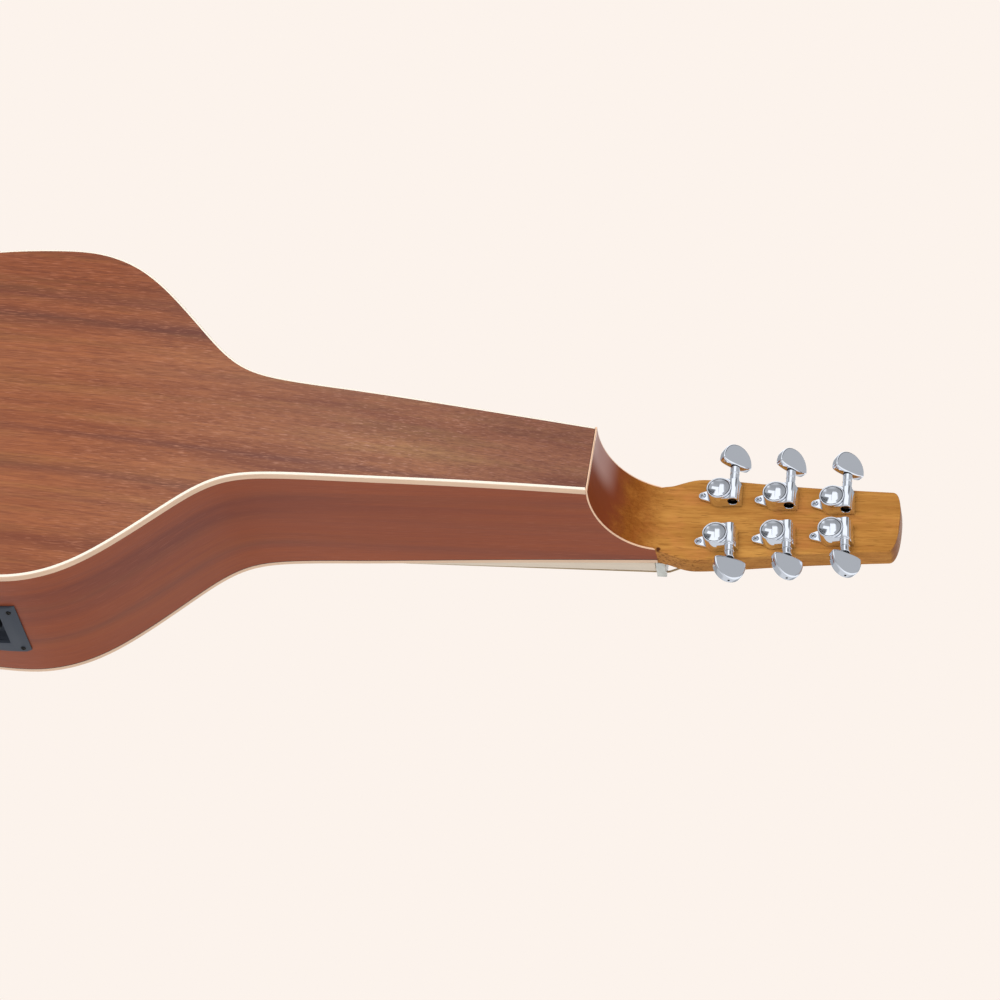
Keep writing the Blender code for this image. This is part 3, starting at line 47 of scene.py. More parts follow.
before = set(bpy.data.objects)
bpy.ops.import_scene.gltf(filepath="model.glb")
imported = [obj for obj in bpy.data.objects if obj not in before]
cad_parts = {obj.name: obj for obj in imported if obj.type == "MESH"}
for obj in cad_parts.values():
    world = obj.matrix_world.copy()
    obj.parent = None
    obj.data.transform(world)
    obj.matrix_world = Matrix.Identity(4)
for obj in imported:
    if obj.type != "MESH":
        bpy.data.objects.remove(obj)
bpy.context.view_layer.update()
MM = 0.001
BODY = "guitar"

# Body outline: distance from the nut and half width in mm, then a squared quarter oval to the tail
NUT_HALF_WIDTH = 25.4
OUTLINE = [
    (80, 29.7), (150, 34.1), (200, 37.2), (240, 39.8), (270, 46.4), (300, 70.4), (330, 101.0),
    (360, 124.2), (390, 134.4), (420, 134.9), (455, 131.5), (500, 122.3), (545, 116.0),
    (590, 124.0), (640, 157.0), (685, 188.0), (725, 198.5),
]
BODY_LENGTH = 825
TAIL_SQUARENESS = 2.5
TAIL_STEPS = 7
EDGE_STEPS = 10

# Depth of the body, its concave heel and its head, in metres
NUT_AHEAD = 4.2 * MM
BODY_DEPTH = 110.5 * MM
HEEL_DEPTH = 76.9 * MM
FLAT_BACK_FROM = 560 * MM
HEEL_X = -38.7 * MM
SCOOP_LENGTH = 43.7 * MM
SCOOP_STRAIGHT = 6 * MM
SIDE_LEAN = 2.4 * MM
LEAN_ENDS_AT = 500 * MM
HEAD_DROP = 14.2 * MM
HEAD_TILT = math.radians(3)
HEAD_THICKNESS = 14 * MM
HEAD_OUTLINE = [(7, 27.6), (14, 30.2), (21, 32.0), (28, 32.2), (66, 29.1), (107, 25.8)]
HEAD_LENGTH = 155.5 * MM
HEAD_TIP_HALF_WIDTH = 23.6
HEAD_TIP_ARC = 8 * MM
HEAD_TIP_SQUARENESS = 3.2
HEAD_TIP_STEPS = 16
HEAD_BLOCK_LENGTH = 85 * MM
PLATE_THICKNESS = 2.8 * MM
RIB_THICKNESS = 2.3 * MM
STRIP_WIDTH = 1.7 * MM
TOP_STRIP_HEIGHT = 3.3 * MM
BACK_STRIP_HEIGHT = 5.0 * MM
HEEL_STRIP_WIDTH = 0.9 * MM
HEEL_STRIP_DEPTH = 0.7 * MM
SEAM = 0.03 * MM
SOUNDHOLE_X = -485 * MM
SOUNDHOLE_RADIUS = 47.5 * MM
HEEL_STRIP_HEIGHT = 3.4 * MM
GAP = 0.3 * MM

# Strings, fingerboard and bridge
STRING_LENGTH = 635 * MM
STRING_RADII = [0.70 * MM, 0.54 * MM, 0.42 * MM, 0.33 * MM, 0.26 * MM, 0.22 * MM]
STRING_SPREAD_BRIDGE = 56 * MM
BOARD_FLARE = 0.0193
PIN_X = -650 * MM
PIN_RADIUS = 2.4 * MM

# Preamp and jack
PREAMP_AT = 439 * MM
PREAMP_BELOW_TOP = 51 * MM
PREAMP_LENGTH = 92 * MM
PREAMP_WIDTH = 49 * MM
PREAMP_FLANGE = 4 * MM
PREAMP_PROUD = 2.4 * MM
POCKET_LENGTH = 72 * MM
POCKET_WIDTH = 31 * MM
POCKET_DEPTH = 7 * MM
KNOB_ALONG = 24 * MM
JACK_BELOW_TOP = 50 * MM
JACK_BARREL_RADIUS = 5.8 * MM
JACK_BORE = 3.2 * MM

# Tuners: places of the string posts, and the worm beside each post
FIRST_TUNER_AT = 38.1 * MM
TUNER_STEP = 37 * MM
TUNER_STAGGER = 0.6 * MM
FIRST_TUNER_OUT = 17.9 * MM
LAST_TUNER_OUT = 12.6 * MM
TUNER_LEANS = {"bass": math.radians(-5.5), "treble": math.radians(-2.5)}
WORM_OUT = 9.1 * MM
WORM_HEIGHT = 6.6 * MM
BORE_OUT = 8.8 * MM
BORE_HEIGHT = 5.8 * MM
EAR_AT = 11.6 * MM
POST_RADIUS = 3 * MM
RIDGE_POWER = 0.72
FLOOR = 0.3 * MM
BUTTON_TURNS = {
    ("treble", 1): math.radians(-40),
    ("treble", 2): math.radians(-46),
    ("treble", 3): math.radians(-40),
    ("bass", 1): math.radians(-29),
    ("bass", 2): math.radians(-38),
    ("bass", 3): math.radians(-38),
}

NUT = Vector((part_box("nut")[1].x - NUT_AHEAD, 0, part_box("soundboard")[1].z))
HEAD = Matrix.Translation(NUT - Vector((0, 0, HEAD_DROP))) @ Matrix.Rotation(HEAD_TILT, 4, "Y")


def length(name, text, millimetres):
    """A length that a user can change, given in millimetres."""
    return bpy.props.FloatProperty(
        name=name, description=text, default=millimetres * MM, unit="LENGTH", precision=5
    )


def colour(name, text, value):
    """A linear colour that a user can change."""
    return bpy.props.FloatVectorProperty(
        name=name, description=text, default=value, subtype="COLOR", size=3, min=0, max=1
    )


class GuitarBodySizes(bpy.types.PropertyGroup):
    """Fine sizes of the body's edges and of the rosette."""

    back_round: length("Back edge round", "Radius of the back strip's outer corner", 1.3)
    top_round: length("Top edge round", "Radius of the top strip's outer corner", 0.7)
    heel_round: length("Heel strip round", "Radius of the heel strip's outer corner", 0.3)
    rope_inner: length("Rope inside", "Inner radius of the rosette's rope ring", 52.0)
    rope_outer: length("Rope outside", "Outer radius of the rosette's rope ring", 57.0)
    line_width: length("Line width", "Width of the pale lines beside the rope", 0.9)
    dark_line: length("Dark line", "Height of the dark line under the top's strip", 0.5)
    inlay_rise: length("Inlay rise", "How far inlays stand above the wood", 0.08)


class GuitarHeadSizes(bpy.types.PropertyGroup):
    """Fine sizes of the head and the heel."""

    back_round: length("Back edge round", "Radius along the back edges of the head", 0.8)
    front_round: length("Front edge round", "Radius along the front edges of the head", 1.0)
    tip_round: length("Tip round", "Rounding of the head's tip", 1.2)


class GuitarTunerSizes(bpy.types.PropertyGroup):
    """Fine sizes of one tuner."""

    case_radius: length("Case radius", "Radius of the round case", 8.15)
    case_height: length("Case height", "Height of the round case", 10.9)
    rim: length("Rim", "Width of the flat rim round the dish", 1.45)
    dish_depth: length("Dish depth", "Depth of the dished cover", 1.7)
    block_end: length("Block end", "Far foot of the worm block from the post", 14.3)
    block_half: length("Block half width", "Half width of the worm block", 8.1)
    block_height: length("Block height", "Height of the web between case and ridge", 9.6)
    ridge_radius: length("Ridge radius", "Radius of the ridge over the worm", 3.4)
    bore_radius: length("Bore radius", "Radius of the worm's open end", 3.3)
    neck_radius: length("Neck radius", "Radius of the neck and of the collar after it", 3.0)
    neck_reach: length("Neck reach", "Where the neck ends, from the post's axis", 13.4)
    washer_from: length("Washer start", "Where the black washer starts", 18.2)
    button_from: length("Button start", "Where the button starts, from the post's axis", 19.1)
    button_height: length("Button height", "Size of the button away from the case", 16.8)
    button_half: length("Button half length", "Half the button's long size", 10.9)
    button_thickness: length("Button thickness", "Thickness of the button", 5.6)
    button_edge: length("Button edge", "Width of the bevel round its faces", 1.2)


class GuitarPalette(bpy.types.PropertyGroup):
    """Colours of the woods and strips."""

    back_light: colour("Back light", "Light ribbons of the back", (0.370, 0.126, 0.050))
    back_middle: colour("Back middle", "Middle tone of the back", (0.275, 0.086, 0.036))
    back_dark: colour("Back dark", "Dark ribbons of the back", (0.155, 0.043, 0.024))
    side_light: colour("Side light", "Light ribbons of the sides", (0.300, 0.075, 0.029))
    side_middle: colour("Side middle", "Middle tone of the sides", (0.275, 0.067, 0.026))
    side_dark: colour("Side dark", "Dark ribbons of the sides", (0.185, 0.048, 0.027))
    head_light: colour("Head light", "Light grain of the head", (0.59, 0.285, 0.068))
    head_middle: colour("Head middle", "Middle tone of the head", (0.49, 0.220, 0.049))
    head_dark: colour("Head dark", "Dark grain of the head", (0.32, 0.122, 0.024))
    burst: colour("Burst", "Dark red shading of the heel", (0.235, 0.051, 0.018))
    cream: colour("Cream", "Strip round the back and the top", (0.77, 0.53, 0.36))
    pale: colour("Pale", "Outer line of the strips and the fingerboard's edge", (0.76, 0.64, 0.50))
    peach: colour("Peach", "Strip round the heel", (0.90, 0.58, 0.38))

# Materials

class Tree:
    """Builds one material's nodes: each call adds a node and returns its first output."""

    def __init__(self, name):
        self.material = bpy.data.materials.new(name)
        self.material.use_nodes = True
        self.nodes = self.material.node_tree.nodes
        self.links = self.material.node_tree.links
        self.shader = self.nodes["Principled BSDF"]
        self.places = self.add("ShaderNodeTexCoord").outputs["Object"]

    def add(self, kind, settings=None, **inputs):
        """Add a node, set its properties, then fill or link its named inputs."""
        node = self.nodes.new(kind)
        for key, value in (settings or {}).items():
            setattr(node, key, value)
        for key, value in inputs.items():
            self.feed(node.inputs[key.replace("_", " ")], value)
        return node

    def feed(self, socket, value):
        """Link a socket, or set its value."""
        if isinstance(value, bpy.types.NodeSocket):
            self.links.new(value, socket)
        else:
            socket.default_value = value

    def along_the_piece(self):
        """Read the piece's own run and height in place of Object coordinates."""
        self.places = self.add("ShaderNodeUVMap", {"uv_map": "grain"}).outputs["UV"]

    def placed(self, scale=(1, 1, 1), turn=0.0, shift=(0, 0, 0)):
        """The coordinates turned about Z, shifted and scaled."""
        turned = self.add("ShaderNodeMapping", Vector=self.places)
        turned.inputs["Rotation"].default_value = (0, 0, turn)
        turned.inputs["Location"].default_value = shift
        node = self.add("ShaderNodeMapping", Vector=turned.outputs["Vector"])
        node.inputs["Scale"].default_value = scale
        return node.outputs["Vector"]

    def noise(self, vector, detail=3.0, roughness=0.5, distortion=0.0):
        """A noise value from 0 to 1, at the scale of its coordinates."""
        node = self.add("ShaderNodeTexNoise", Vector=vector, Scale=1.0, Detail=detail)
        node.inputs["Roughness"].default_value = roughness
        node.inputs["Distortion"].default_value = distortion
        return node.outputs["Fac"]

    def ramp(self, value, *stops):
        """Colours between (position, colour) stops."""
        node = self.add("ShaderNodeValToRGB", Fac=value)
        elements = node.color_ramp.elements
        while len(elements) < len(stops):
            elements.new(0.5)
        for element, (position, tone) in zip(elements, stops):
            element.position = position
            element.color = (*tone, 1)
        return node.outputs["Color"]

    def level(self, value, low, high, out_low=0.0, out_high=1.0, smooth=False):
        """A value stretched from one range to another."""
        node = self.add("ShaderNodeMapRange", Value=value)
        if smooth:
            node.interpolation_type = "SMOOTHSTEP"
        for key, number in zip(("From Min", "From Max", "To Min", "To Max"),
                               (low, high, out_low, out_high)):
            node.inputs[key].default_value = number
        return node.outputs["Result"]

    def mix(self, share, first, second, blend="MIX"):
        """Two colours mixed."""
        node = self.add("ShaderNodeMixRGB", {"blend_type": blend})
        self.feed(node.inputs["Fac"], share)
        for key, tone in (("Color1", first), ("Color2", second)):
            if isinstance(tone, tuple):
                tone = (*tone, 1)
            self.feed(node.inputs[key], tone)
        return node.outputs["Color"]

    def maths(self, operation, first, second=0.0):
        """One step of arithmetic."""
        node = self.add("ShaderNodeMath", {"operation": operation})
        self.feed(node.inputs[0], first)
        self.feed(node.inputs[1], second)
        return node.outputs["Value"]

    def product(self, *values):
        """Values multiplied."""
        total = values[0]
        for value in values[1:]:
            total = self.maths("MULTIPLY", total, value)
        return total

    def axes(self, vector=None):
        """The three coordinates."""
        node = self.add("ShaderNodeSeparateXYZ", Vector=vector or self.places)
        return node.outputs["X"], node.outputs["Y"], node.outputs["Z"]

    def band(self, value, centre, half):
        """1 at a centre, falling smoothly to 0 at half a width from it."""
        away = self.maths("ABSOLUTE", self.maths("SUBTRACT", value, centre))
        return self.level(away, 0.0, half, 1.0, 0.0, smooth=True)

    def bump(self, height, strength, distance):
        """Raise the surface by a height pattern."""
        node = self.add("ShaderNodeBump", Height=height, Strength=strength, Distance=distance)
        self.feed(self.shader.inputs["Normal"], node.outputs["Normal"])

    def set(self, **inputs):
        """Set the shader's own sockets; a colour or value may be linked."""
        for key, value in inputs.items():
            if isinstance(value, tuple) and len(value) == 3:
                value = (*value, 1)
            self.feed(self.shader.inputs[key.replace("_", " ")], value)
        return self.material


def scaled(tone, share):
    """A colour made darker or lighter."""
    return tuple(min(part * share, 1.0) for part in tone)


def ribbon_wood(name, tones, turn, seed, streaks=(), follow=False, contrast=1.0, gloss=0.42,
                painted_shade_and_sheen=False):
    """Quarter-sawn red-brown wood: broad ribbons, fine streaks, and short open pores along it.

    streaks are dark stripes, as (place across the grain, half width, strength), in mm. The back
    plate gets painted shade towards the treble side, a painted sheen part way towards the heel,
    and is darker nearest the heel.
    """
    light, middle, dark = tones
    tree = Tree(name)
    if follow:
        tree.along_the_piece()
    shift = (seed, seed * 0.7, seed * 0.3)
    ribbons = tree.noise(tree.placed((1.3, 34, 34), turn, shift), 3.0, 0.55, 0.35)
    bands = tree.noise(tree.placed((3, 120, 120), turn, shift), 3.0, 0.6, 0.2)
    streaky = tree.noise(tree.placed((9, 420, 420), turn, shift), 3.0, 0.6)
    fine_turn = 0.3 * turn
    fibre = tree.noise(tree.placed((26, 1350, 1350), fine_turn, shift), 3.0, 0.65)
    pores = tree.noise(tree.placed((75, 1900, 1900), fine_turn, shift), 1.0, 0.5)
    patches = tree.noise(tree.placed((9, 14, 14), turn, shift), 2.0, 0.5)
    base = tree.ramp(ribbons, (0.28, dark), (0.44, middle), (0.60, light), (0.74, middle))
    share = tree.level(bands, 0.36, 0.66, 0.0, 0.60 * contrast)
    base = tree.mix(share, base, light)
    share = tree.level(streaky, 0.34, 0.60, 0.38 * contrast, 0.0)
    base = tree.mix(share, base, dark)
    if streaks:
        wander = tree.noise(tree.placed((3, 8, 8), turn, shift), 2.0, 0.5)
        across = tree.axes(tree.placed((1, 1, 1), turn))[1]
        across = tree.maths("ADD", across, tree.level(wander, 0.2, 0.8, -3.5 * MM, 3.5 * MM))
        uneven = tree.noise(tree.placed((14, 260, 260), turn, shift), 3.0, 0.6)
        for centre, half, strength in streaks:
            stripe = tree.band(across, centre * MM, half * MM)
            amount = tree.product(stripe, tree.level(uneven, 0.25, 0.62, 0.45, 1.0), strength)
            base = tree.mix(amount, base, (0.80 * dark[0], 1.02 * dark[1], 1.35 * dark[2]))
    golden = tree.level(tree.noise(tree.placed((2.2, 62, 62), turn, shift), 3.0, 0.6), 0.48, 0.66)
    base = tree.mix(tree.product(golden, 0.6 * contrast), base, (0.94, 1.18, 1.02), "MULTIPLY")
    shade = tree.level(fibre, 0.32, 0.56, 0.55 * contrast, 0.0)
    fibrous = tree.mix(shade, base, dark)
    rough_patch = tree.level(patches, 0.35, 0.65, 0.35, 1.0)
    pore_share = tree.product(tree.level(pores, 0.60, 0.72, 0.0, 0.5 * contrast), rough_patch)
    grained = tree.mix(pore_share, fibrous, scaled(dark, 0.60))
    flecks = tree.product(tree.level(pores, 0.29, 0.40, 0.85 * contrast, 0.0), rough_patch)
    coloured = tree.mix(flecks, grained, tuple(1.15 * part + 0.04 for part in light))
    height = tree.maths("SUBTRACT", fibre, tree.maths("MULTIPLY", pore_share, 0.6))
    tree.bump(height, 0.22, 0.0002)
    if painted_shade_and_sheen:
        along, across, _ = tree.axes()
        # Painted shade: darker towards the treble side.
        treble_shade_share = tree.level(across, -0.18, -0.03, 1.0, 0.0, smooth=True)
        coloured = tree.mix(treble_shade_share, coloured, (0.72, 0.58, 0.55), "MULTIPLY")
        # Painted sheen: greyer and bluer part way towards the heel.
        sheen_share = tree.level(along, NUT.x - 0.38, NUT.x - 0.20)
        coloured = tree.mix(sheen_share, coloured, (1.02, 1.30, 1.66), "MULTIPLY")
        # Darker nearest the heel.
        heel_share = tree.level(along, NUT.x - 0.17, NUT.x - 0.06, smooth=True)
        coloured = tree.mix(heel_share, coloured, (0.76, 0.71, 0.76), "MULTIPLY")
    rough = tree.level(fibre, 0.3, 0.7, gloss - 0.06, gloss + 0.08)
    return tree.set(Base_Color=coloured, Roughness=rough, Specular_IOR_Level=0.22)


def neck_wood(name, light, middle, dark, burst):
    """Golden brown head and heel, shading to a dark red at the top of the heel, with a painted sheen
    on the scoop and painted shade on the tip's end face.
    """
    tree = Tree(name)
    broad = tree.noise(tree.placed((7, 55, 70), -0.03), 3, 0.6, 0.8)
    streaks = tree.noise(tree.placed((14, 230, 260), -0.02), 3, 0.6, 0.2)
    fine = tree.noise(tree.placed((30, 620, 620), -0.02), 3, 0.6)
    pores = tree.noise(tree.placed((80, 1700, 1700)), 1, 0.5)
    mottle = tree.noise(tree.placed((38, 60, 60)), 3, 0.6)
    base = tree.ramp(broad, (0.28, scaled(middle, 0.82)), (0.47, middle), (0.66, light))
    base = tree.mix(tree.level(streaks, 0.36, 0.60, 0.40, 0.0), base, dark)
    base = tree.mix(tree.level(mottle, 0.52, 0.75, 0.0, 0.35), base, (0.62, 0.20, 0.075))
    lined = tree.mix(tree.level(fine, 0.34, 0.56, 0.50, 0.0), base, dark)
    pore_share = tree.level(pores, 0.62, 0.74, 0.0, 0.6)
    grained = tree.mix(pore_share, lined, scaled(dark, 0.5))
    x, y, z = tree.axes(tree.placed((1, 1, 1), 0.0, (-NUT.x, 0, -NUT.z)))
    wavy = tree.maths("ADD", x, tree.level(broad, 0.2, 0.8, -4 * MM, 4 * MM))
    red_share = tree.level(wavy, -19 * MM, 8 * MM, 1.0, 0.0, smooth=True)
    dark_share = tree.level(wavy, -31 * MM, -19 * MM, 0.95, 0.0, smooth=True)
    reddened = tree.mix(red_share, grained, (0.66, 0.47, 0.34), "MULTIPLY")
    coloured = tree.mix(dark_share, reddened, burst)
    # Painted sheen: a violet-grey reflection near the top of the scoop.
    haze = tree.product(tree.level(x, -37 * MM, -27 * MM, 0.74, 0.0, smooth=True),
                        tree.level(y, -12 * MM, 4 * MM, 1.0, 0.0, smooth=True))
    coloured = tree.mix(haze, coloured, (0.58, 0.36, 0.315))
    normal = tree.axes(tree.add("ShaderNodeNewGeometry").outputs["Normal"])
    on_side = tree.level(tree.maths("ABSOLUTE", normal[1]), 0.75, 0.92)
    flared = tree.level(x, 24 * MM, 40 * MM, 1.0, 0.25, smooth=True)
    specks = tree.noise(tree.placed((420, 420, 900)), 2, 0.6)
    speck_share = tree.product(tree.level(specks, 0.50, 0.62, 0.0, 0.60), on_side, flared)
    coloured = tree.mix(tree.product(on_side, 0.12), coloured, (0.46, 0.17, 0.09))
    coloured = tree.mix(speck_share, coloured, scaled(dark, 0.42))
    # Painted shade on the end face of the tip.
    tip_shade = tree.product(tree.level(normal[0], 0.55, 0.95, 0.0, 0.55),
                          tree.level(x, 120 * MM, 130 * MM))
    coloured = tree.mix(tip_shade, coloured, (0.22, 0.085, 0.07))
    # A near-black spot at the bass edge of the head's back, just past the nut.
    off_spot = tree.add("ShaderNodeVectorMath", {"operation": "DISTANCE"})
    tree.feed(off_spot.inputs[0], tree.places)
    off_spot.inputs[1].default_value = NUT + Vector((1.2 * MM, 24.6 * MM, -HEAD_DROP))
    dark_spot = tree.level(off_spot.outputs["Value"], 1.1 * MM, 1.9 * MM, 0.9, 0.0)
    coloured = tree.mix(dark_spot, coloured, (0.045, 0.008, 0.006))
    tree.bump(tree.maths("SUBTRACT", fine, pore_share), 0.10, 0.0001)
    return tree.set(Base_Color=coloured, Roughness=0.34, Specular_IOR_Level=0.03)


def striped_strip(name, tone, edge=None):
    """Pale binding with faint lines along it and a little yellowing, and a painted highlight on the
    faces turned to the back or the top.
    """
    tree = Tree(name)
    lines = tree.noise(tree.placed((9, 60, 700)), 2, 0.5)
    stains = tree.noise(tree.placed((22, 22, 22)), 3, 0.6)
    base = tree.mix(tree.level(lines, 0.35, 0.7, 0.0, 0.6), tone, scaled(tone, 0.84))
    coloured = tree.mix(tree.level(stains, 0.45, 0.75, 0.0, 0.25), base, scaled(tone, 0.72))
    if edge:
        # Painted highlight: paler on faces turned towards the back or the top.
        normal = tree.axes(tree.add("ShaderNodeNewGeometry").outputs["Normal"])[2]
        highlight_share = tree.level(tree.maths("ABSOLUTE", normal), 0.42, 0.66, 0.0, 0.95)
        coloured = tree.mix(highlight_share, coloured, edge)
    tree.bump(lines, 0.08, 0.0001)
    return tree.set(Base_Color=coloured, Roughness=0.38, Specular_IOR_Level=0.35)


def polished_metal(name, tone, roughness, brushed=0.0):
    """Plated metal with faint polishing marks, and painted shade darkening its hollows and grooves.
    """
    tree = Tree(name)
    marks = tree.noise(tree.placed((900, 900, 900)), 2, 0.6)
    smudges = tree.noise(tree.placed((120, 120, 120)), 3, 0.6)
    rough = tree.maths("ADD", tree.level(smudges, 0.4, 0.75, roughness, roughness + 0.05), brushed)
    tree.bump(marks, 0.02 + brushed, 0.00003)
    # Painted shade: darker where the piece's own surface closes in round a point.
    hollow = tree.add("ShaderNodeAmbientOcclusion", {"samples": 8, "only_local": True},
                      Distance=1.2 * MM)
    unshaded_share = tree.level(hollow.outputs["AO"], 0.40, 0.85)
    toned = tree.mix(unshaded_share, scaled(tone, 0.16), tone)
    return tree.set(Base_Color=toned, Metallic=1.0, Roughness=rough)


def wound_metal(name, tone, pitch):
    """A string's wrap wire: fine rings across its length."""
    tree = Tree(name)
    x = tree.axes()[0]
    rings = tree.maths("SINE", tree.maths("MULTIPLY", x, 2 * math.pi / pitch))
    dull = tree.noise(tree.placed((60, 300, 300)), 3, 0.6)
    toned = tree.mix(tree.level(dull, 0.35, 0.7, 0.0, 0.5), tone, scaled(tone, 0.6))
    tree.bump(rings, 0.35, 0.00005)
    return tree.set(Base_Color=toned, Metallic=1.0, Roughness=0.32)


def dark_board(name, light, dark):
    """Dark fingerboard and bridge wood with open grain."""
    tree = Tree(name)
    grain = tree.noise(tree.placed((7, 160, 160)), 4, 0.65, 0.3)
    pores = tree.noise(tree.placed((40, 1500, 1500)), 1, 0.5)
    base = tree.ramp(grain, (0.35, dark), (0.65, light))
    pore_share = tree.level(pores, 0.6, 0.72, 0.0, 0.8)
    coloured = tree.mix(pore_share, base, scaled(dark, 0.4))
    tree.bump(tree.maths("SUBTRACT", grain, pore_share), 0.2, 0.0002)
    return tree.set(Base_Color=coloured, Roughness=0.48)


def moulded_plastic(name, tone, roughness=0.45, texture=0.15):
    """Moulded plastic with a fine spark-eroded texture."""
    tree = Tree(name)
    pits = tree.noise(tree.placed((1400, 1400, 1400)), 2, 0.6)
    haze = tree.noise(tree.placed((40, 40, 40)), 3, 0.6)
    tint = tree.mix(tree.level(haze, 0.3, 0.7, 0.0, 0.35), tone, scaled(tone, 1.5))
    tree.bump(pits, texture, 0.0001)
    rough = tree.level(haze, 0.3, 0.7, roughness - 0.05, roughness + 0.05)
    return tree.set(Base_Color=tint, Roughness=rough)


def bone_like(name, light, dark):
    """Grey-white nut and saddle material with fine pores."""
    tree = Tree(name)
    cloud = tree.noise(tree.placed((90, 90, 90)), 3, 0.6)
    pores = tree.noise(tree.placed((600, 2200, 600)), 1, 0.5)
    base = tree.mix(tree.level(cloud, 0.35, 0.7), light, dark)
    coloured = tree.mix(tree.level(pores, 0.66, 0.74, 0.0, 0.3), base, scaled(dark, 0.6))
    tree.bump(pores, 0.05, 0.0001)
    return tree.set(Base_Color=coloured, Roughness=0.35, Coat_Weight=0.2, Coat_Roughness=0.2)


def bare_spruce(name):
    """Pale inner wood of braces, linings and blocks."""
    tree = Tree(name)
    rings = tree.noise(tree.placed((4, 420, 420)), 2, 0.5)
    tone = tree.ramp(rings, (0.35, (0.60, 0.42, 0.23)), (0.65, (0.74, 0.57, 0.36)))
    tree.bump(rings, 0.15, 0.0001)
    return tree.set(Base_Color=tone, Roughness=0.65)


def rope_inlay(name, pale, dark, twists=150):
    """Slanting pale and dark pieces round the soundhole, like a rope."""
    tree = Tree(name)
    x, y, _ = tree.axes(tree.placed((1, 1, 1), 0.0, (-NUT.x - SOUNDHOLE_X, 0, 0)))
    angle = tree.maths("ARCTAN2", y, x)
    reach = tree.maths("SQRT", tree.maths("ADD", tree.product(x, x), tree.product(y, y)))
    slant = tree.maths("MULTIPLY", reach, 260.0)
    turned = tree.maths("ADD", tree.maths("MULTIPLY", angle, twists / (2 * math.pi)), slant)
    saw = tree.maths("FRACT", turned)
    edge = tree.level(tree.maths("ABSOLUTE", tree.maths("SUBTRACT", saw, 0.5)), 0.22, 0.28)
    grain = tree.noise(tree.placed((200, 700, 200)), 2, 0.6)
    toned = tree.mix(tree.level(grain, 0.3, 0.7, 0.0, 0.3), pale, scaled(pale, 0.7))
    return tree.set(Base_Color=tree.mix(edge, toned, dark), Roughness=0.35, Coat_Weight=0.3)


BACK_STREAKS = ((-130, 9, 0.35), (-91.6, 9, 0.60), (-72.3, 10, 0.72), (-40, 6, 0.25),
                (19, 4, 0.50), (50.5, 8, 0.55), (72.5, 5, 0.30))
SIDE_STREAKS = ((-4, 8, 0.45), (-31, 14, 0.20), (-58, 6, 0.20))


def make_finish(name):
    """One finish by its short name."""
    tones = bpy.context.scene.guitar_palette
    cream = tuple(tones.cream)
    back = (tuple(tones.back_light), tuple(tones.back_middle), tuple(tones.back_dark))
    side = (tuple(tones.side_light), tuple(tones.side_middle), tuple(tones.side_dark))
    head = (tuple(tones.head_light), tuple(tones.head_middle), tuple(tones.head_dark))
    makers = {
        # The back plate's wood carries painted shade and a painted sheen.
        "back": lambda: ribbon_wood("back_ribbon_wood", back, -0.045, 3.7, BACK_STREAKS,
                                    painted_shade_and_sheen=True),
        "top": lambda: ribbon_wood("top_ribbon_wood", back, 0.02, 9.1),
        "side": lambda: ribbon_wood("side_ribbon_wood", side, 0.077, 5.3, SIDE_STREAKS,
                                    True, 0.55, 0.36),
        "neck": lambda: neck_wood("head_gold_wood", *head, tuple(tones.burst)),
        # The third colour is the strip's painted highlight.
        "cream": lambda: striped_strip("cream_binding", cream, (0.95, 0.87, 0.73)),
        "pale": lambda: striped_strip("pale_fingerboard_binding", tuple(tones.pale)),
        "peach": lambda: striped_strip("peach_heel_strip", tuple(tones.peach)),
        "chrome": lambda: polished_metal("polished_chrome", (0.84, 0.87, 0.93), 0.03),
        "steel": lambda: polished_metal("nickel_plate", (0.62, 0.61, 0.58), 0.16, 0.02),
        "black_steel": lambda: polished_metal("blackened_steel", (0.035, 0.033, 0.03), 0.35),
        "wound": lambda: wound_metal("wound_string", (0.60, 0.44, 0.26), 0.5 * MM),
        "string": lambda: polished_metal("plain_string_steel", (0.50, 0.48, 0.45), 0.22, 0.05),
        "board": lambda: dark_board("dark_board_wood", (0.060, 0.030, 0.018), (0.022, 0.011, 0.008)),
        "bone": lambda: bone_like("grey_bone", (0.60, 0.60, 0.54), (0.48, 0.48, 0.43)),
        "plastic": lambda: moulded_plastic("preamp_black", (0.030, 0.036, 0.048)),
        "washer": lambda: moulded_plastic("washer_black", (0.012, 0.012, 0.013), 0.4, 0.05),
        "rope": lambda: rope_inlay("rope_inlay", (0.62, 0.50, 0.32), (0.030, 0.014, 0.010)),
        "pearl": lambda: bone_like("pearl_dots", (0.80, 0.80, 0.77), (0.62, 0.66, 0.66)),
        "inner": lambda: bare_spruce("bare_inner_wood"),
    }
    return makers[name]()


MADE = {}


def finish(name):
    """A finish by its short name, made once."""
    if name not in MADE:
        MADE[name] = make_finish(name)
    return MADE[name]


def dress(obj, name):
    """Give an object one finish."""
    obj.data.materials.clear()
    obj.data.materials.append(finish(name))

# The body's smooth edge

def natural_spline(stations, steps):
    """Points on a smooth curve through the stations, with even steps in each span."""
    points = np.array(stations, dtype=float)
    spans = len(points) - 1
    chords = np.linalg.norm(np.diff(points, axis=0), axis=1)
    system = np.eye(spans + 1)
    right = np.zeros((spans + 1, 2))
    for row in range(1, spans):
        before, after = chords[row - 1], chords[row]
        system[row, row - 1 : row + 2] = before, 2 * (before + after), after
        rise = (points[row + 1] - points[row]) / after
        right[row] = 6 * (rise - (points[row] - points[row - 1]) / before)
    bends = np.linalg.solve(system, right)
    curve = []
    for span in range(spans):
        chord = chords[span]
        slope = (points[span + 1] - points[span]) / chord
        slope = slope - chord * (2 * bends[span] + bends[span + 1]) / 6
        for step in range(steps):
            run = chord * step / steps
            cubic = (bends[span + 1] - bends[span]) / (6 * chord)
            curve.append(points[span] + slope * run + bends[span] / 2 * run**2 + cubic * run**3)
    curve.append(points[-1])
    return np.array(curve)


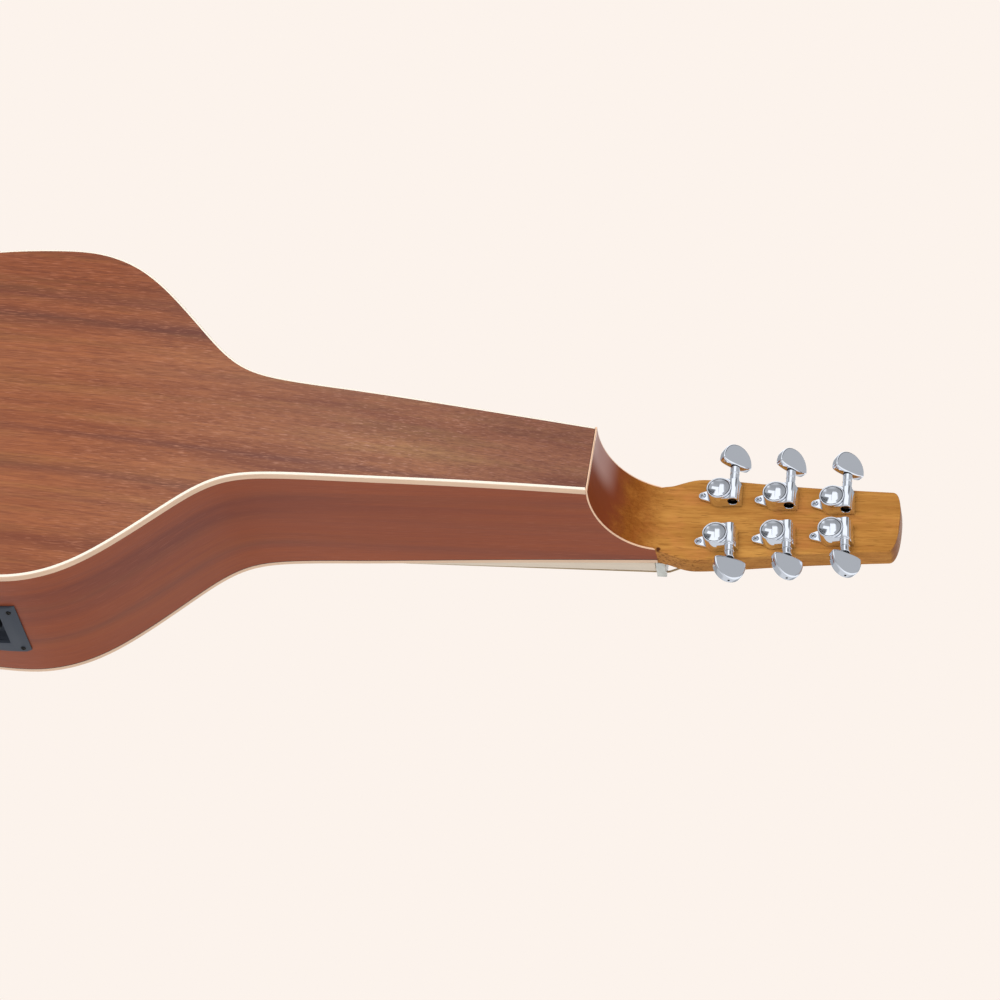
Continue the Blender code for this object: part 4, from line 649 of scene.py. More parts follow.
def body_edge():
    """The bass edge from the nut to the middle of the tail, and the directions out of the body."""
    widest_at, half = OUTLINE[-1]
    tail = []
    for step in range(1, TAIL_STEPS + 1):
        angle = math.pi / 2 * step / TAIL_STEPS
        across = 0 if step == TAIL_STEPS else half * math.cos(angle) ** (2 / TAIL_SQUARENESS)
        along = math.sin(angle) ** (2 / TAIL_SQUARENESS)
        tail.append((widest_at + (BODY_LENGTH - widest_at) * along, across))
    bass = [(0, NUT_HALF_WIDTH)] + OUTLINE + tail
    treble = [(along, -across) for along, across in reversed(bass[:-1])]
    stations = [(-along * MM, across * MM) for along, across in bass + treble]
    whole = natural_spline(stations, EDGE_STEPS)
    last = (len(bass) - 1) * EDGE_STEPS
    heading = np.gradient(whole, axis=0)[: last + 1]
    heading /= np.linalg.norm(heading, axis=1)[:, None]
    outwards = np.stack([heading[:, 1], -heading[:, 0]], axis=1)
    return whole[: last + 1], outwards


EDGE, OUTWARDS = body_edge()
RUNS = np.concatenate([[0], np.cumsum(np.linalg.norm(np.diff(EDGE, axis=0), axis=1))])
WIDEST = int(np.argmax(EDGE[:, 1]))


def edge_place(run, depth=0.0):
    """Place on the body's edge at a distance along it, inside by a depth."""
    moved = EDGE - OUTWARDS * depth
    return float(np.interp(run, RUNS, moved[:, 0])), float(np.interp(run, RUNS, moved[:, 1]))


def run_at(x):
    """Distance along the edge at a place along the body, ahead of the tail."""
    return float(np.interp(-x, -EDGE[: WIDEST + 1, 0], RUNS[: WIDEST + 1]))


def runs_between(start, end):
    """Distances along the edge, at its own points."""
    inside = [run for run in RUNS if start + 0.5 * MM < run < end - 0.5 * MM]
    return [start] + inside + [end]


def back_height(x):
    """Height of the back's outer face."""
    rise = (BODY_DEPTH - HEEL_DEPTH) / (FLAT_BACK_FROM + HEEL_X) ** 2
    return -BODY_DEPTH + rise * max(x + FLAT_BACK_FROM, 0) ** 2


def head_back_height(x):
    """Height of the back face of the head."""
    return -HEAD_DROP - x * math.tan(HEAD_TILT)


def side_inset(x, z):
    """How far the sides lean in below the top, in the neck."""
    share = min(max(1 + x / LEAN_ENDS_AT, 0), 1)
    return SIDE_LEAN * share * -z / -back_height(x)


def side_point(run, z, depth):
    """A point inside the bass side, at a depth from its outer face."""
    x = edge_place(run)[0]
    return (*edge_place(run, depth + side_inset(x, z)), z)


def heel_curve(offset, steps=28):
    """Points (x, z) down the concave heel from the nut to the back, set into the neck."""
    low = back_height(HEEL_X) + SCOOP_STRAIGHT
    high = head_back_height(HEEL_X + SCOOP_LENGTH)
    start = math.acos(1 + HEEL_X / SCOOP_LENGTH)
    curve = []
    for step in range(steps + 1):
        angle = start * (1 - step / steps)
        normal = Vector((math.cos(angle) * (high - low), -math.sin(angle) * SCOOP_LENGTH))
        normal.normalize()
        x = HEEL_X + SCOOP_LENGTH * (1 - math.cos(angle)) - normal.x * offset
        curve.append((x, low + (high - low) * math.sin(angle) - normal.y * offset))
    curve.append((HEEL_X - offset, back_height(HEEL_X)))
    return curve


def head_half_width(x):
    """Half width of the head, from the nut to its curved tip."""
    arc_from = HEAD_LENGTH - HEAD_TIP_ARC
    stations = [(0, NUT_HALF_WIDTH)] + HEAD_OUTLINE + [(arc_from / MM, HEAD_TIP_HALF_WIDTH)]
    curve = natural_spline(stations, 6) * MM
    straight = float(np.interp(min(x, arc_from), curve[:, 0], curve[:, 1]))
    past = min(max(x - arc_from, 0) / HEAD_TIP_ARC, 1)
    return straight * math.sqrt(1 - past**HEAD_TIP_SQUARENESS)


# Modelling steps

def select_only(obj):
    """Make an object the only one selected, and the active one."""
    bpy.ops.object.select_all(action="DESELECT")
    obj.select_set(True)
    bpy.context.view_layer.objects.active = obj


def work(obj, kind, chosen, *jobs):
    """Select parts of a mesh by a test, run edit-mode operators on them, and leave edit mode."""
    select_only(obj)
    bpy.ops.object.mode_set(mode="EDIT")
    bpy.ops.mesh.select_mode(type=kind)
    bpy.ops.mesh.select_all(action="DESELECT")
    mesh = bmesh.from_edit_mesh(obj.data)
    for item in {"VERT": mesh.verts, "EDGE": mesh.edges, "FACE": mesh.faces}[kind]:
        if chosen(item):
            item.select_set(True)
    mesh.select_flush_mode()
    bmesh.update_edit_mesh(obj.data)
    for job, settings in jobs:
        job(**settings)
    bpy.ops.object.mode_set(mode="OBJECT")
    return obj


def everything(_):
    """A test that every part passes."""
    return True


def tidy(obj, angle=32):
    """Merge doubles, turn the faces outwards and shade what is round smoothly."""
    work(obj, "VERT", everything,
         (bpy.ops.mesh.remove_doubles, {"threshold": 0.000002}),
         (bpy.ops.mesh.normals_make_consistent, {"inside": False}))
    select_only(obj)
    bpy.ops.object.shade_smooth_by_angle(angle=math.radians(angle))
    return obj


def modify(obj, kind, **settings):
    """Add a modifier, set it and apply it."""
    select_only(obj)
    step = obj.modifiers.new(kind.title(), kind)
    for key, value in settings.items():
        setattr(step, key, value)
    bpy.ops.object.modifier_apply(modifier=step.name)
    return obj


def combine(obj, tool, operation="DIFFERENCE"):
    """Cut a tool from an object, or join it on, and remove the tool."""
    modify(obj, "BOOLEAN", object=tool, operation=operation, solver="EXACT")
    bpy.data.objects.remove(tool)
    return obj


def settle(obj, name):
    """Name a new object and move its place into its mesh."""
    obj.name = name
    obj.data.transform(obj.matrix_world)
    obj.matrix_world = Matrix.Identity(4)
    return obj


def box(name, low, high, bevel=0.0, segments=2):
    """A box between two corners, with its edges rounded."""
    low, high = Vector(low), Vector(high)
    bpy.ops.object.select_all(action="DESELECT")
    bpy.ops.mesh.primitive_cube_add(size=1, location=(low + high) / 2, scale=high - low)
    made = settle(bpy.context.object, name)
    if bevel:
        work(made, "EDGE", everything,
             (bpy.ops.mesh.bevel, {"offset": bevel, "segments": segments, "affect": "EDGES"}))
    return made


def drum(name, radius, low, high, sides=48, centre=(0, 0)):
    """A cylinder along Z."""
    bpy.ops.object.select_all(action="DESELECT")
    bpy.ops.mesh.primitive_cylinder_add(
        vertices=sides, radius=radius, depth=high - low, location=(*centre, (low + high) / 2)
    )
    return settle(bpy.context.object, name)


def turned(name, profile, sides=48, closed=False):
    """A solid spun about Z from (radius, height) points: a closed ring, or one that ends on Z."""
    mesh = bpy.data.meshes.new(name)
    points = [(radius, 0, height) for radius, height in profile]
    edges = [(at, at + 1) for at in range(len(points) - 1)]
    if closed:
        edges.append((len(points) - 1, 0))
    mesh.from_pydata(points, edges, [])
    made = bpy.data.objects.new(name, mesh)
    bpy.context.scene.collection.objects.link(made)
    whole = {"steps": sides, "angle": 2 * math.pi, "center": (0, 0, 0), "axis": (0, 0, 1)}
    work(made, "VERT", everything, (bpy.ops.mesh.spin, whole))
    return tidy(made)


def laid(obj, turn, axis, place=(0, 0, 0)):
    """Turn a mesh about an axis through the origin, then move it."""
    obj.data.transform(Matrix.Translation(place) @ Matrix.Rotation(math.radians(turn), 4, axis))
    return obj


def loft(name, sections, grain=None, angle=30):
    """A closed solid through rings of points given from the nut; grain gives each point's UV."""
    count = len(sections[0])
    points = [NUT + Vector(point) for section in sections for point in section]
    faces = []
    for at in range(len(sections) - 1):
        for corner in range(count):
            after = (corner + 1) % count
            first, second = at * count, (at + 1) * count
            faces.append((first + corner, first + after, second + after, second + corner))
    faces.append(tuple(range(count)))
    faces.append(tuple(range(len(points) - count, len(points))))
    mesh = bpy.data.meshes.new(name)
    mesh.from_pydata(points, [], faces)
    if grain:
        layer = mesh.uv_layers.new(name="grain")
        for loop in mesh.loops:
            layer.data[loop.index].uv = grain[loop.vertex_index]
    made = bpy.data.objects.new(name, mesh)
    bpy.context.scene.collection.objects.link(made)
    return tidy(made, angle)


def mirrored(sections):
    """Sections on the treble side, in the opposite order, so that both sides join at the tail."""
    return [[(x, -y, z) for x, y, z in section] for section in reversed(sections)]


def joined(name, *objects):
    """Several solids as one object."""
    select_only(objects[0])
    for obj in objects[1:]:
        obj.select_set(True)
    bpy.ops.object.join()
    objects[0].name = name
    return objects[0]


def copied(node, name, bevel=0.0, segments=2, angle=35):
    """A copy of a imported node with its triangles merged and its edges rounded."""
    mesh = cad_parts[node].data.copy()
    made = bpy.data.objects.new(name, mesh)
    bpy.context.scene.collection.objects.link(made)
    select_only(made)
    bpy.ops.mesh.customdata_custom_splitnormals_clear()
    work(made, "VERT", everything,
         (bpy.ops.mesh.remove_doubles, {"threshold": 0.00001}),
         (bpy.ops.mesh.dissolve_limited, {"angle_limit": math.radians(0.4)}))
    if bevel:
        modify(made, "BEVEL", width=bevel, segments=segments, limit_method="ANGLE",
               angle_limit=math.radians(40), harden_normals=False)
    bpy.ops.object.shade_smooth_by_angle(angle=math.radians(angle))
    return made


def keep(obj, look, body=BODY, nodes=()):
    """Finish a piece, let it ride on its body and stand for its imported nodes."""
    dress(obj, look)
    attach(obj, body)
    if nodes:
        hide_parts(*nodes)
    return obj

# Body

TAIL_RUN = float(RUNS[-1])
BACK_FROM = run_at(HEEL_X - HEEL_STRIP_WIDTH - SEAM)


def strip_sections(runs, profile):
    """Sections along the bass side; the profile gives (depth, height) points at each x."""
    sections = []
    for run in runs:
        x = edge_place(run)[0]
        sections.append([side_point(run, z, depth) for depth, z in profile(x)])
    return sections


def rounded_strip(low, height, width, radius, upwards):
    """Profile of a let-in strip whose outer corner is rounded; low is its outer face's height."""
    step = 1 if upwards else -1

    def profile(x):
        start = low(x)
        points = [(0, start + step * height)]
        for part in range(5):
            angle = math.pi / 2 * part / 4
            depth = radius * (1 - math.cos(angle))
            points.append((depth, start + step * radius * (1 - math.sin(angle))))
        points += [(width, start), (width, start + step * height)]
        return points

    return profile


def round_the_body(name, runs, profile, angle=40):
    """A strip that runs down the bass side, round the tail and up the treble side."""
    half = strip_sections(runs, profile)
    ends = [(x, 0 if abs(y) < 0.2 * MM else y, z) for x, y, z in half[-1]]
    half[-1] = ends
    return loft(name, half + mirrored(half[:-1]), angle=angle)


def plate(name, runs, inset, low, high):
    """A plate between the two sides."""
    sections = []
    for run in runs:
        x = edge_place(run)[0]
        bass = [side_point(run, z, inset) for z in (low(x), high(x))]
        bass = [(along, max(across, SEAM), z) for along, across, z in bass]
        sections.append(bass + [(along, -across, z) for along, across, z in reversed(bass)])
    return loft(name, sections)


def rib_bottom(x):
    """Lower edge of a side: above the back's strip, or inside the heel's strip."""
    over_strip = back_height(x) + BACK_STRIP_HEIGHT + SEAM
    inset = HEEL_STRIP_WIDTH + SEAM
    if x <= HEEL_X - inset:
        return over_strip
    curve = sorted(heel_curve(inset))
    return max(over_strip, float(np.interp(x, *zip(*curve))))


def rib(name, side):
    """One bent side, with its run and height as its grain's coordinates."""
    inset = HEEL_STRIP_WIDTH + SEAM
    runs = [run_at(-GAP)]
    runs += [run_at(x) for x, _ in heel_curve(inset) if HEEL_X - inset + GAP < x < -2 * GAP]
    runs += runs_between(run_at(HEEL_X - inset), TAIL_RUN - 0.1 * MM)
    high = -TOP_STRIP_HEIGHT - bpy.context.scene.guitar_body.dark_line - 2 * SEAM
    corners = ((0, False), (0, True), (RIB_THICKNESS, True), (RIB_THICKNESS, False))
    sections = []
    grain = []
    for run in runs:
        x = edge_place(run)[0]
        section = []
        for depth, upper in corners:
            z = high if upper else rib_bottom(x)
            section.append(side_point(run, z, depth))
            grain.append((run, z))
        sections.append(section)
    if side == "treble":
        sections = [[(x, -y, z) for x, y, z in section] for section in sections]
    return loft(name, sections, grain, 28)


def preamp_matrix():
    """Frame of the preamp on the bass side: X along the side, Y out, Z up."""
    middle = run_at(-PREAMP_AT)
    inset = side_inset(-PREAMP_AT, -PREAMP_BELOW_TOP)
    before = edge_place(middle - PREAMP_LENGTH / 2, inset)
    after = edge_place(middle + PREAMP_LENGTH / 2, inset)
    turn = math.atan2(before[1] - after[1], before[0] - after[0])
    place = NUT + Vector((*edge_place(middle, inset), -PREAMP_BELOW_TOP))
    return Matrix.Translation(place) @ Matrix.Rotation(turn, 4, "Z")


def ring(name, inner, outer, low, high, sides=128):
    """A flat ring about Z."""
    profile = [(inner, low), (outer, low), (outer, high), (inner, high)]
    return turned(name, profile, sides, closed=True)


class GUITAR_OT_plates(bpy.types.Operator):
    """Top and back plates, and the rosette round the soundhole"""

    bl_idname = "guitar.plates"
    bl_label = "Top and back"

    def execute(self, context):
        sizes = context.scene.guitar_body
        inset = STRIP_WIDTH + SEAM
        top = plate("top_panel", runs_between(GAP, TAIL_RUN), inset,
                    lambda x: -PLATE_THICKNESS, lambda x: 0)
        hole = drum("hole_tool", SOUNDHOLE_RADIUS, -20 * MM, 20 * MM, 128)
        hole.data.transform(Matrix.Translation(NUT + Vector((SOUNDHOLE_X, 0, 0))))
        combine(top, hole)
        for number, radius in enumerate(STRING_RADII):
            across = string_across(number, STRING_SPREAD_BRIDGE)
            reach = PIN_RADIUS + radius + 0.45 * MM
            place = NUT + Vector((PIN_X - PIN_RADIUS - GAP + reach, across, 0))
            hole = drum("pin_tool", reach, -20 * MM, 20 * MM, 24)
            hole.data.transform(Matrix.Translation(place))
            combine(top, hole)
        keep(tidy(top), "top", nodes=["soundboard"])
        back = plate("back_panel", runs_between(BACK_FROM, TAIL_RUN), inset,
                     back_height, lambda x: back_height(x) + PLATE_THICKNESS)
        keep(back, "back", nodes=["back_plate"])

        place = Matrix.Translation(NUT + Vector((SOUNDHOLE_X, 0, 0)))
        rise = sizes.inlay_rise
        line = sizes.line_width
        edges = (
            ("rosette_rope", sizes.rope_inner, sizes.rope_outer, "rope"),
            ("rosette_inner_line", sizes.rope_inner - line, sizes.rope_inner, "cream"),
            ("rosette_outer_line", sizes.rope_outer, sizes.rope_outer + line, "cream"),
            ("rosette_dark_line", sizes.rope_outer + line, sizes.rope_outer + 1.7 * line, "board"),
        )
        for name, inner, outer, look in edges:
            inlay = ring(name, inner, outer, -0.5 * MM, rise)
            inlay.data.transform(place)
            keep(inlay, look)
        return {"FINISHED"}


class GUITAR_OT_sides(bpy.types.Operator):
    """The two bent sides"""

    bl_idname = "guitar.sides"
    bl_label = "Sides"

    def execute(self, context):
        jack = NUT + Vector((-BODY_LENGTH * MM, 0, -JACK_BELOW_TOP))
        for side in ("bass", "treble"):
            made = rib(f"{side}_side", side)
            hole = laid(drum("jack_tool", JACK_BARREL_RADIUS + GAP, -9 * MM, 9 * MM), 90, "Y", jack)
            combine(made, hole)
            if side == "bass":
                half_long = PREAMP_LENGTH / 2 - PREAMP_FLANGE + GAP
                half_wide = PREAMP_WIDTH / 2 - PREAMP_FLANGE + GAP
                opening = box("opening_tool", (-half_long, -14 * MM, -half_wide),
                              (half_long, 9 * MM, half_wide))
                opening.data.transform(preamp_matrix())
                combine(made, opening)
            tidy(made, 28)
            keep(made, "side", nodes=[f"rib_{side}"])
        return {"FINISHED"}


class GUITAR_OT_strips(bpy.types.Operator):
    """The strips round the back, the top and the heel"""

    bl_idname = "guitar.strips"
    bl_label = "Edge strips"

    def execute(self, context):
        sizes = context.scene.guitar_body
        back = round_the_body(
            "back_edge_strip", runs_between(BACK_FROM, TAIL_RUN),
            rounded_strip(back_height, BACK_STRIP_HEIGHT, STRIP_WIDTH, sizes.back_round, True),
        )
        keep(back, "cream", nodes=["back_binding"])
        top = round_the_body(
            "top_edge_strip", runs_between(GAP, TAIL_RUN),
            rounded_strip(lambda x: 0, TOP_STRIP_HEIGHT, STRIP_WIDTH, sizes.top_round, False),
        )
        keep(top, "cream", nodes=["top_binding"])

        def under_top(x):
            high = -TOP_STRIP_HEIGHT - SEAM
            low = high - sizes.dark_line
            return [(0, low), (0, high), (RIB_THICKNESS, high), (RIB_THICKNESS, low)]

        keep(round_the_body("top_dark_line", runs_between(GAP, TAIL_RUN), under_top), "board")
        self.heel_strip(sizes)
        return {"FINISHED"}

    def heel_strip(self, sizes):
        """The thin strip down both ends of the sides and across the end of the back."""
        low = back_height(HEEL_X)
        across = edge_place(run_at(HEEL_X))[1] - side_inset(HEEL_X, low)
        strip = box("heel_strip", NUT + Vector((HEEL_X - HEEL_STRIP_WIDTH, -across, low)),
                    NUT + Vector((HEEL_X, across, low + HEEL_STRIP_HEIGHT)), sizes.heel_round)
        for side in (1, -1):
            sections = []
            for outer, inner in zip(heel_curve(0), heel_curve(HEEL_STRIP_WIDTH)):
                section = []
                for (x, z), depth in ((outer, 0), (outer, HEEL_STRIP_DEPTH),
                                      (inner, HEEL_STRIP_DEPTH), (inner, 0)):
                    x = min(x, -GAP)
                    along, out, _ = side_point(run_at(x), z, depth)
                    section.append((x, side * out, z))
                sections.append(section)
            combine(strip, loft("heel_strip_tool", sections), "UNION")
        keep(tidy(strip), "peach", nodes=["heel_binding"])


# Neck and head

def rounded_section(x, half_low, half_high, low, high, low_round, high_round, matrix=None,
                    step=None):
    """A ring of points at x: four sides with rounded corners, and a step (out, in, height)."""
    corners = (
        (half_low - low_round, low + low_round, low_round, -90),
        (half_high - high_round, high - high_round, high_round, 0),
        (high_round - half_high, high - high_round, high_round, 90),
        (low_round - half_low, low + low_round, low_round, 180),
    )
    if step is None:
        step = (half_low, half_low, (low + high) / 2)
    outer, inner, height = step
    section = []
    for number, (y, z, radius, start) in enumerate(corners):
        if number == 3:
            section += [Vector((x, -inner, height)), Vector((x, -outer, height))]
        for part in range(5):
            angle = math.radians(start + 90 * part / 4)
            section.append(Vector((x, y + radius * math.cos(angle), z + radius * math.sin(angle))))
        if number == 0:
            section += [Vector((x, outer, height)), Vector((x, inner, height))]
    return [matrix @ point for point in section] if matrix else section


def block_half_width(x, z, depth=RIB_THICKNESS):
    """Half width of the head block between the sides, or of its lip inside the heel's strip."""
    return edge_place(run_at(x))[1] - side_inset(x, z) - depth - SEAM


class GUITAR_OT_neck(bpy.types.Operator):
    """Head block, concave heel and head, in one piece"""

    bl_idname = "guitar.neck"
    bl_label = "Neck and head"

    def execute(self, context):
        sizes = context.scene.guitar_head
        tilted = Matrix.Translation((0, 0, -HEAD_DROP)) @ Matrix.Rotation(HEAD_TILT, 4, "Y")
        clear = back_height(HEEL_X) + HEEL_STRIP_HEIGHT + SEAM
        top = -PLATE_THICKNESS - SEAM
        fine = 0.05 * MM
        sections = []
        inner = HEEL_X - HEEL_STRIP_WIDTH
        stations = [(-HEAD_BLOCK_LENGTH, max(clear, back_height(-HEAD_BLOCK_LENGTH) + 3.1 * MM))]
        stations += [(inner + HEEL_STRIP_WIDTH * part / 4, clear) for part in range(5)]
        curve = [point for point in reversed(heel_curve(0)) if point[1] > clear + GAP]
        stations += [(x + 0.01 * MM, z) for x, z in curve if x < -0.1 * MM]
        for x, low in stations:
            place = min(x, -GAP)
            lip_top = min(max(rib_bottom(place) - 2 * SEAM, low + 3 * fine), top - 3 * fine)
            lip = HEEL_STRIP_DEPTH if x >= inner else RIB_THICKNESS
            step = (block_half_width(place, lip_top, lip), block_half_width(place, lip_top), lip_top)
            wide_low = block_half_width(place, low, lip)
            wide_high = block_half_width(place, top)
            sections.append(
                rounded_section(x, wide_low, wide_high, low, top, fine, fine, step=step)
            )
        scoop_end = HEEL_X + SCOOP_LENGTH
        for x in (0.02 * MM, 1.2 * MM, 2.5 * MM, 3.8 * MM, scoop_end):
            share = max(1 - (x - HEEL_X) / SCOOP_LENGTH, 0)
            start = back_height(HEEL_X) + SCOOP_STRAIGHT
            low = start + (head_back_height(scoop_end) - start) * math.sqrt(1 - share**2)
            high = head_back_height(x) + HEAD_THICKNESS / math.cos(HEAD_TILT)
            half = head_half_width(max(x, 0))
            round_low = sizes.back_round * min(x / scoop_end, 1) + fine
            sections.append(
                rounded_section(x, half, half, low, high, round_low, sizes.front_round)
            )
        step = 3 * MM
        arc_from = HEAD_LENGTH - HEAD_TIP_ARC
        xs = [scoop_end + 1.5 * MM + step * part for part in range(47)]
        xs = [x for x in xs if x < arc_from - 1 * MM]
        for part in range(HEAD_TIP_STEPS):
            along = math.sin(math.pi / 2 * part / HEAD_TIP_STEPS) ** (2 / HEAD_TIP_SQUARENESS)
            xs.append(arc_from + HEAD_TIP_ARC * along)
        for x in xs:
            past = max(x - (HEAD_LENGTH - sizes.tip_round), 0) / sizes.tip_round
            drop = sizes.tip_round * (1 - math.sqrt(max(1 - min(past, 1) ** 2, 0)))
            half = head_half_width(x)
            back_round = min(sizes.back_round, 0.4 * half)
            front_round = min(sizes.front_round, 0.4 * half)
            sections.append(
                rounded_section(x, half, half, drop, HEAD_THICKNESS - drop,
                                back_round, front_round, tilted)
            )
        neck = loft("carved_neck", sections, angle=38)
        for side in ("bass", "treble"):
            for number in (1, 2, 3):
                hole = drum("post_tool", POST_RADIUS + 0.35 * MM, -9 * MM, 30 * MM, 32)
                hole.data.transform(HEAD @ Matrix.Translation(post_place(side, number)))
                combine(neck, hole)
        keep(tidy(neck, 38), "neck", nodes=["neck_heel_headstock"])
        return {"FINISHED"}


# Front pieces

def string_across(number, spread):
    """Place across the strings, from the bass side at number 0."""
    return spread * (0.5 - number / (len(STRING_RADII) - 1))


def board_half_width(x):
    """Half width of the fingerboard with its strip."""
    return NUT_HALF_WIDTH * MM + BOARD_FLARE * (-2 * MM - x)


class GUITAR_OT_fingerboard(bpy.types.Operator):
    """Fingerboard with its strip, fret lines and dots, and the raised nut"""

    bl_idname = "guitar.fingerboard"
    bl_label = "Fingerboard and nut"

    def execute(self, context):
        sizes = context.scene.guitar_body
        keep(copied("fingerboard", "dark_fingerboard", 0.15 * MM, 1), "board",
             nodes=["fingerboard"])
        keep(copied("fingerboard_binding", "fingerboard_strip", 0.4 * MM, 3), "pale",
             nodes=["fingerboard_binding"])
        keep(copied("nut", "raised_nut", 0.3 * MM, 2), "bone", nodes=["nut"])
        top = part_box("fingerboard")[1].z
        lines = []
        places = [-2 * MM]
        for fret in range(1, 20):
            x = -STRING_LENGTH * (1 - 2 ** (-fret / 12))
            places.append(x)
            half = board_half_width(x) - 1.7 * MM
            low = Vector((NUT.x + x - 0.3 * MM, -half, top - 0.6 * MM))
            high = Vector((NUT.x + x + 0.3 * MM, half, top + sizes.inlay_rise))
            lines.append(box(f"fret_line_{fret}", low, high, 0.03 * MM, 1))
        keep(joined("fret_lines", *lines), "pale")
        dots = []
        for fret in (3, 5, 7, 9, 12, 15, 17, 19):
            x = (places[fret] + places[fret - 1]) / 2
            for y in (-9 * MM, 9 * MM) if fret == 12 else (0,):
                dot = drum("dot", 2.6 * MM, top - 0.6 * MM, top + sizes.inlay_rise, 32,
                           (NUT.x + x, y))
                dots.append(dot)
        keep(joined("position_dots", *dots), "pearl")
        return {"FINISHED"}


class GUITAR_OT_bridge(bpy.types.Operator):
    """Bridge, saddle and pins"""

    bl_idname = "guitar.bridge"
    bl_label = "Bridge"

    def execute(self, context):
        keep(copied("bridge", "string_bridge", 0.45 * MM, 3), "board", nodes=["bridge"])
        keep(copied("saddle", "bone_saddle", 0.6 * MM, 3), "bone", nodes=["saddle"])
        for number in range(1, 7):
            node = f"bridge_pin_{number}"
            low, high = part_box(node)
            radius = (high.x - low.x) / 2
            neck = high.z - 3.5 * MM
            pin = turned(f"string_pin_{number}", [
                (0, low.z), (1.9 * MM, low.z), (PIN_RADIUS, low.z + 3 * MM),
                (PIN_RADIUS, neck - 0.3 * MM), (PIN_RADIUS + 0.25 * MM, neck - 0.15 * MM),
                (radius - 0.5 * MM, neck), (radius - 0.1 * MM, neck + 0.3 * MM),
                (radius, neck + 0.8 * MM), (radius - 0.2 * MM, neck + 1.5 * MM),
                (radius - 0.8 * MM, neck + 2.3 * MM), (radius - 1.8 * MM, neck + 3.0 * MM),
                (1.0 * MM, neck + 3.4 * MM), (0, neck + 3.5 * MM),
            ], 40)
            place = ((low.x + high.x) / 2, (low.y + high.y) / 2, 0)
            pin.data.transform(Matrix.Translation(place))
            keep(pin, "bone", nodes=[node])
        return {"FINISHED"}


class GUITAR_OT_strings(bpy.types.Operator):
    """Finishes of the strings: four wound, two plain"""

    bl_idname = "guitar.strings"
    bl_label = "Strings"

    def execute(self, context):
        for number in range(1, 7):
            dress(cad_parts[f"string_{number}"], "wound" if number < 5 else "string")
        return {"FINISHED"}

# Tuners, modelled on a bench: the post on Z, the head's back at 0, the button along +Y

def post_place(side, number):
    """Place of a string post in the head's frame."""
    share = (number - 1) / 2
    out = FIRST_TUNER_OUT + (LAST_TUNER_OUT - FIRST_TUNER_OUT) * share
    sign = 1 if side == "bass" else -1
    along = FIRST_TUNER_AT + sign * TUNER_STAGGER + TUNER_STEP * (number - 1)
    return Vector((along, sign * out, 0))


def slab(name, outline, low, high, bevel=0.0, segments=3):
    """A plate cut to an outline, its faces' edges rounded and a narrow loop inside each face."""
    mesh = bpy.data.meshes.new(name)
    mesh.from_pydata([(x, y, low) for x, y in outline], [], [tuple(range(len(outline)))])
    made = bpy.data.objects.new(name, mesh)
    bpy.context.scene.collection.objects.link(made)
    rise = {"TRANSFORM_OT_translate": {"value": (0, 0, high - low)}}
    work(made, "FACE", everything, (bpy.ops.mesh.extrude_region_move, rise),
         (bpy.ops.mesh.select_all, {"action": "SELECT"}),
         (bpy.ops.mesh.normals_make_consistent, {"inside": False}))
    if bevel:
        work(made, "EDGE", lambda edge: abs(edge.verts[0].co.z - edge.verts[1].co.z) < 1e-6,
             (bpy.ops.mesh.bevel, {"offset": bevel, "segments": segments, "affect": "EDGES"}))
        work(made, "FACE", lambda face: abs(face.normal.z) > 0.9999,
             (bpy.ops.mesh.inset, {"thickness": 0.12 * MM}))
    return made


def along_y(obj, x, z):
    """Lay a mesh made along Z along Y, at the worm's place."""
    return laid(obj, -90, "X", (x, 0, z))


def bench_case(sizes):
    """Round case with its dished cover, worm block, neck and ear, as one piece."""
    radius, high = sizes.case_radius, sizes.case_height
    groove = radius - sizes.rim
    bead = (radius - groove - 0.35 * MM) / 2
    profile = [(0, FLOOR), (radius, FLOOR)]
    for part in range(9):
        angle = math.pi * part / 8
        profile.append((radius - bead * (1 - math.cos(angle)),
                        high - 0.5 * MM * (1 - math.sin(angle))))
    profile += [(groove + 0.3 * MM, high - 1.0 * MM), (groove + 0.1 * MM, high - 1.0 * MM),
                (groove, high - 0.3 * MM)]
    for part in range(1, 13):
        share = 1 - part / 12
        profile.append((groove * share, high - 0.3 * MM - sizes.dish_depth * (1 - share**2)))
    case = turned("case", profile, 96)
    combine(case, bench_block(sizes), "UNION")
    reach, wide = sizes.neck_reach, sizes.neck_radius
    neck = turned("neck", [
        (0, 6 * MM), (wide + 0.25 * MM, 6 * MM), (wide + 0.25 * MM, 8.6 * MM), (wide, 9.0 * MM),
        (wide, reach - 0.9 * MM), (wide + 0.15 * MM, reach - 0.7 * MM),
        (wide + 0.15 * MM, reach - 0.15 * MM), (wide, reach), (0, reach),
    ])
    combine(case, along_y(neck, WORM_OUT, WORM_HEIGHT), "UNION")
    outline = []
    for part in range(25):
        angle = math.pi / 2 + 0.28 + (math.pi - 0.56) * part / 24
        outline.append((2.7 * MM * math.cos(angle) - EAR_AT, 2.7 * MM * math.sin(angle)))
    outline += [(-2 * MM, -6.6 * MM), (-2 * MM, 6.6 * MM)]
    combine(case, slab("ear", outline, FLOOR, 2.2 * MM, 0.3 * MM), "UNION")
    sink = turned("sink", [(0, 1.5 * MM), (1.9 * MM, 1.5 * MM), (2.2 * MM, 2.0 * MM),
                           (2.3 * MM, 4 * MM), (0, 4 * MM)])
    combine(case, laid(sink, 0, "Z", (-EAR_AT, 0, 0)))
    wide = sizes.bore_radius
    bore = turned("bore", [(0, -12 * MM), (wide + 0.2 * MM, -12 * MM),
                           (wide + 0.2 * MM, -8.0 * MM), (wide, -7.8 * MM), (wide, -2 * MM),
                           (0, -2 * MM)])
    combine(case, along_y(bore, BORE_OUT, BORE_HEIGHT))
    return tidy(case, 30)


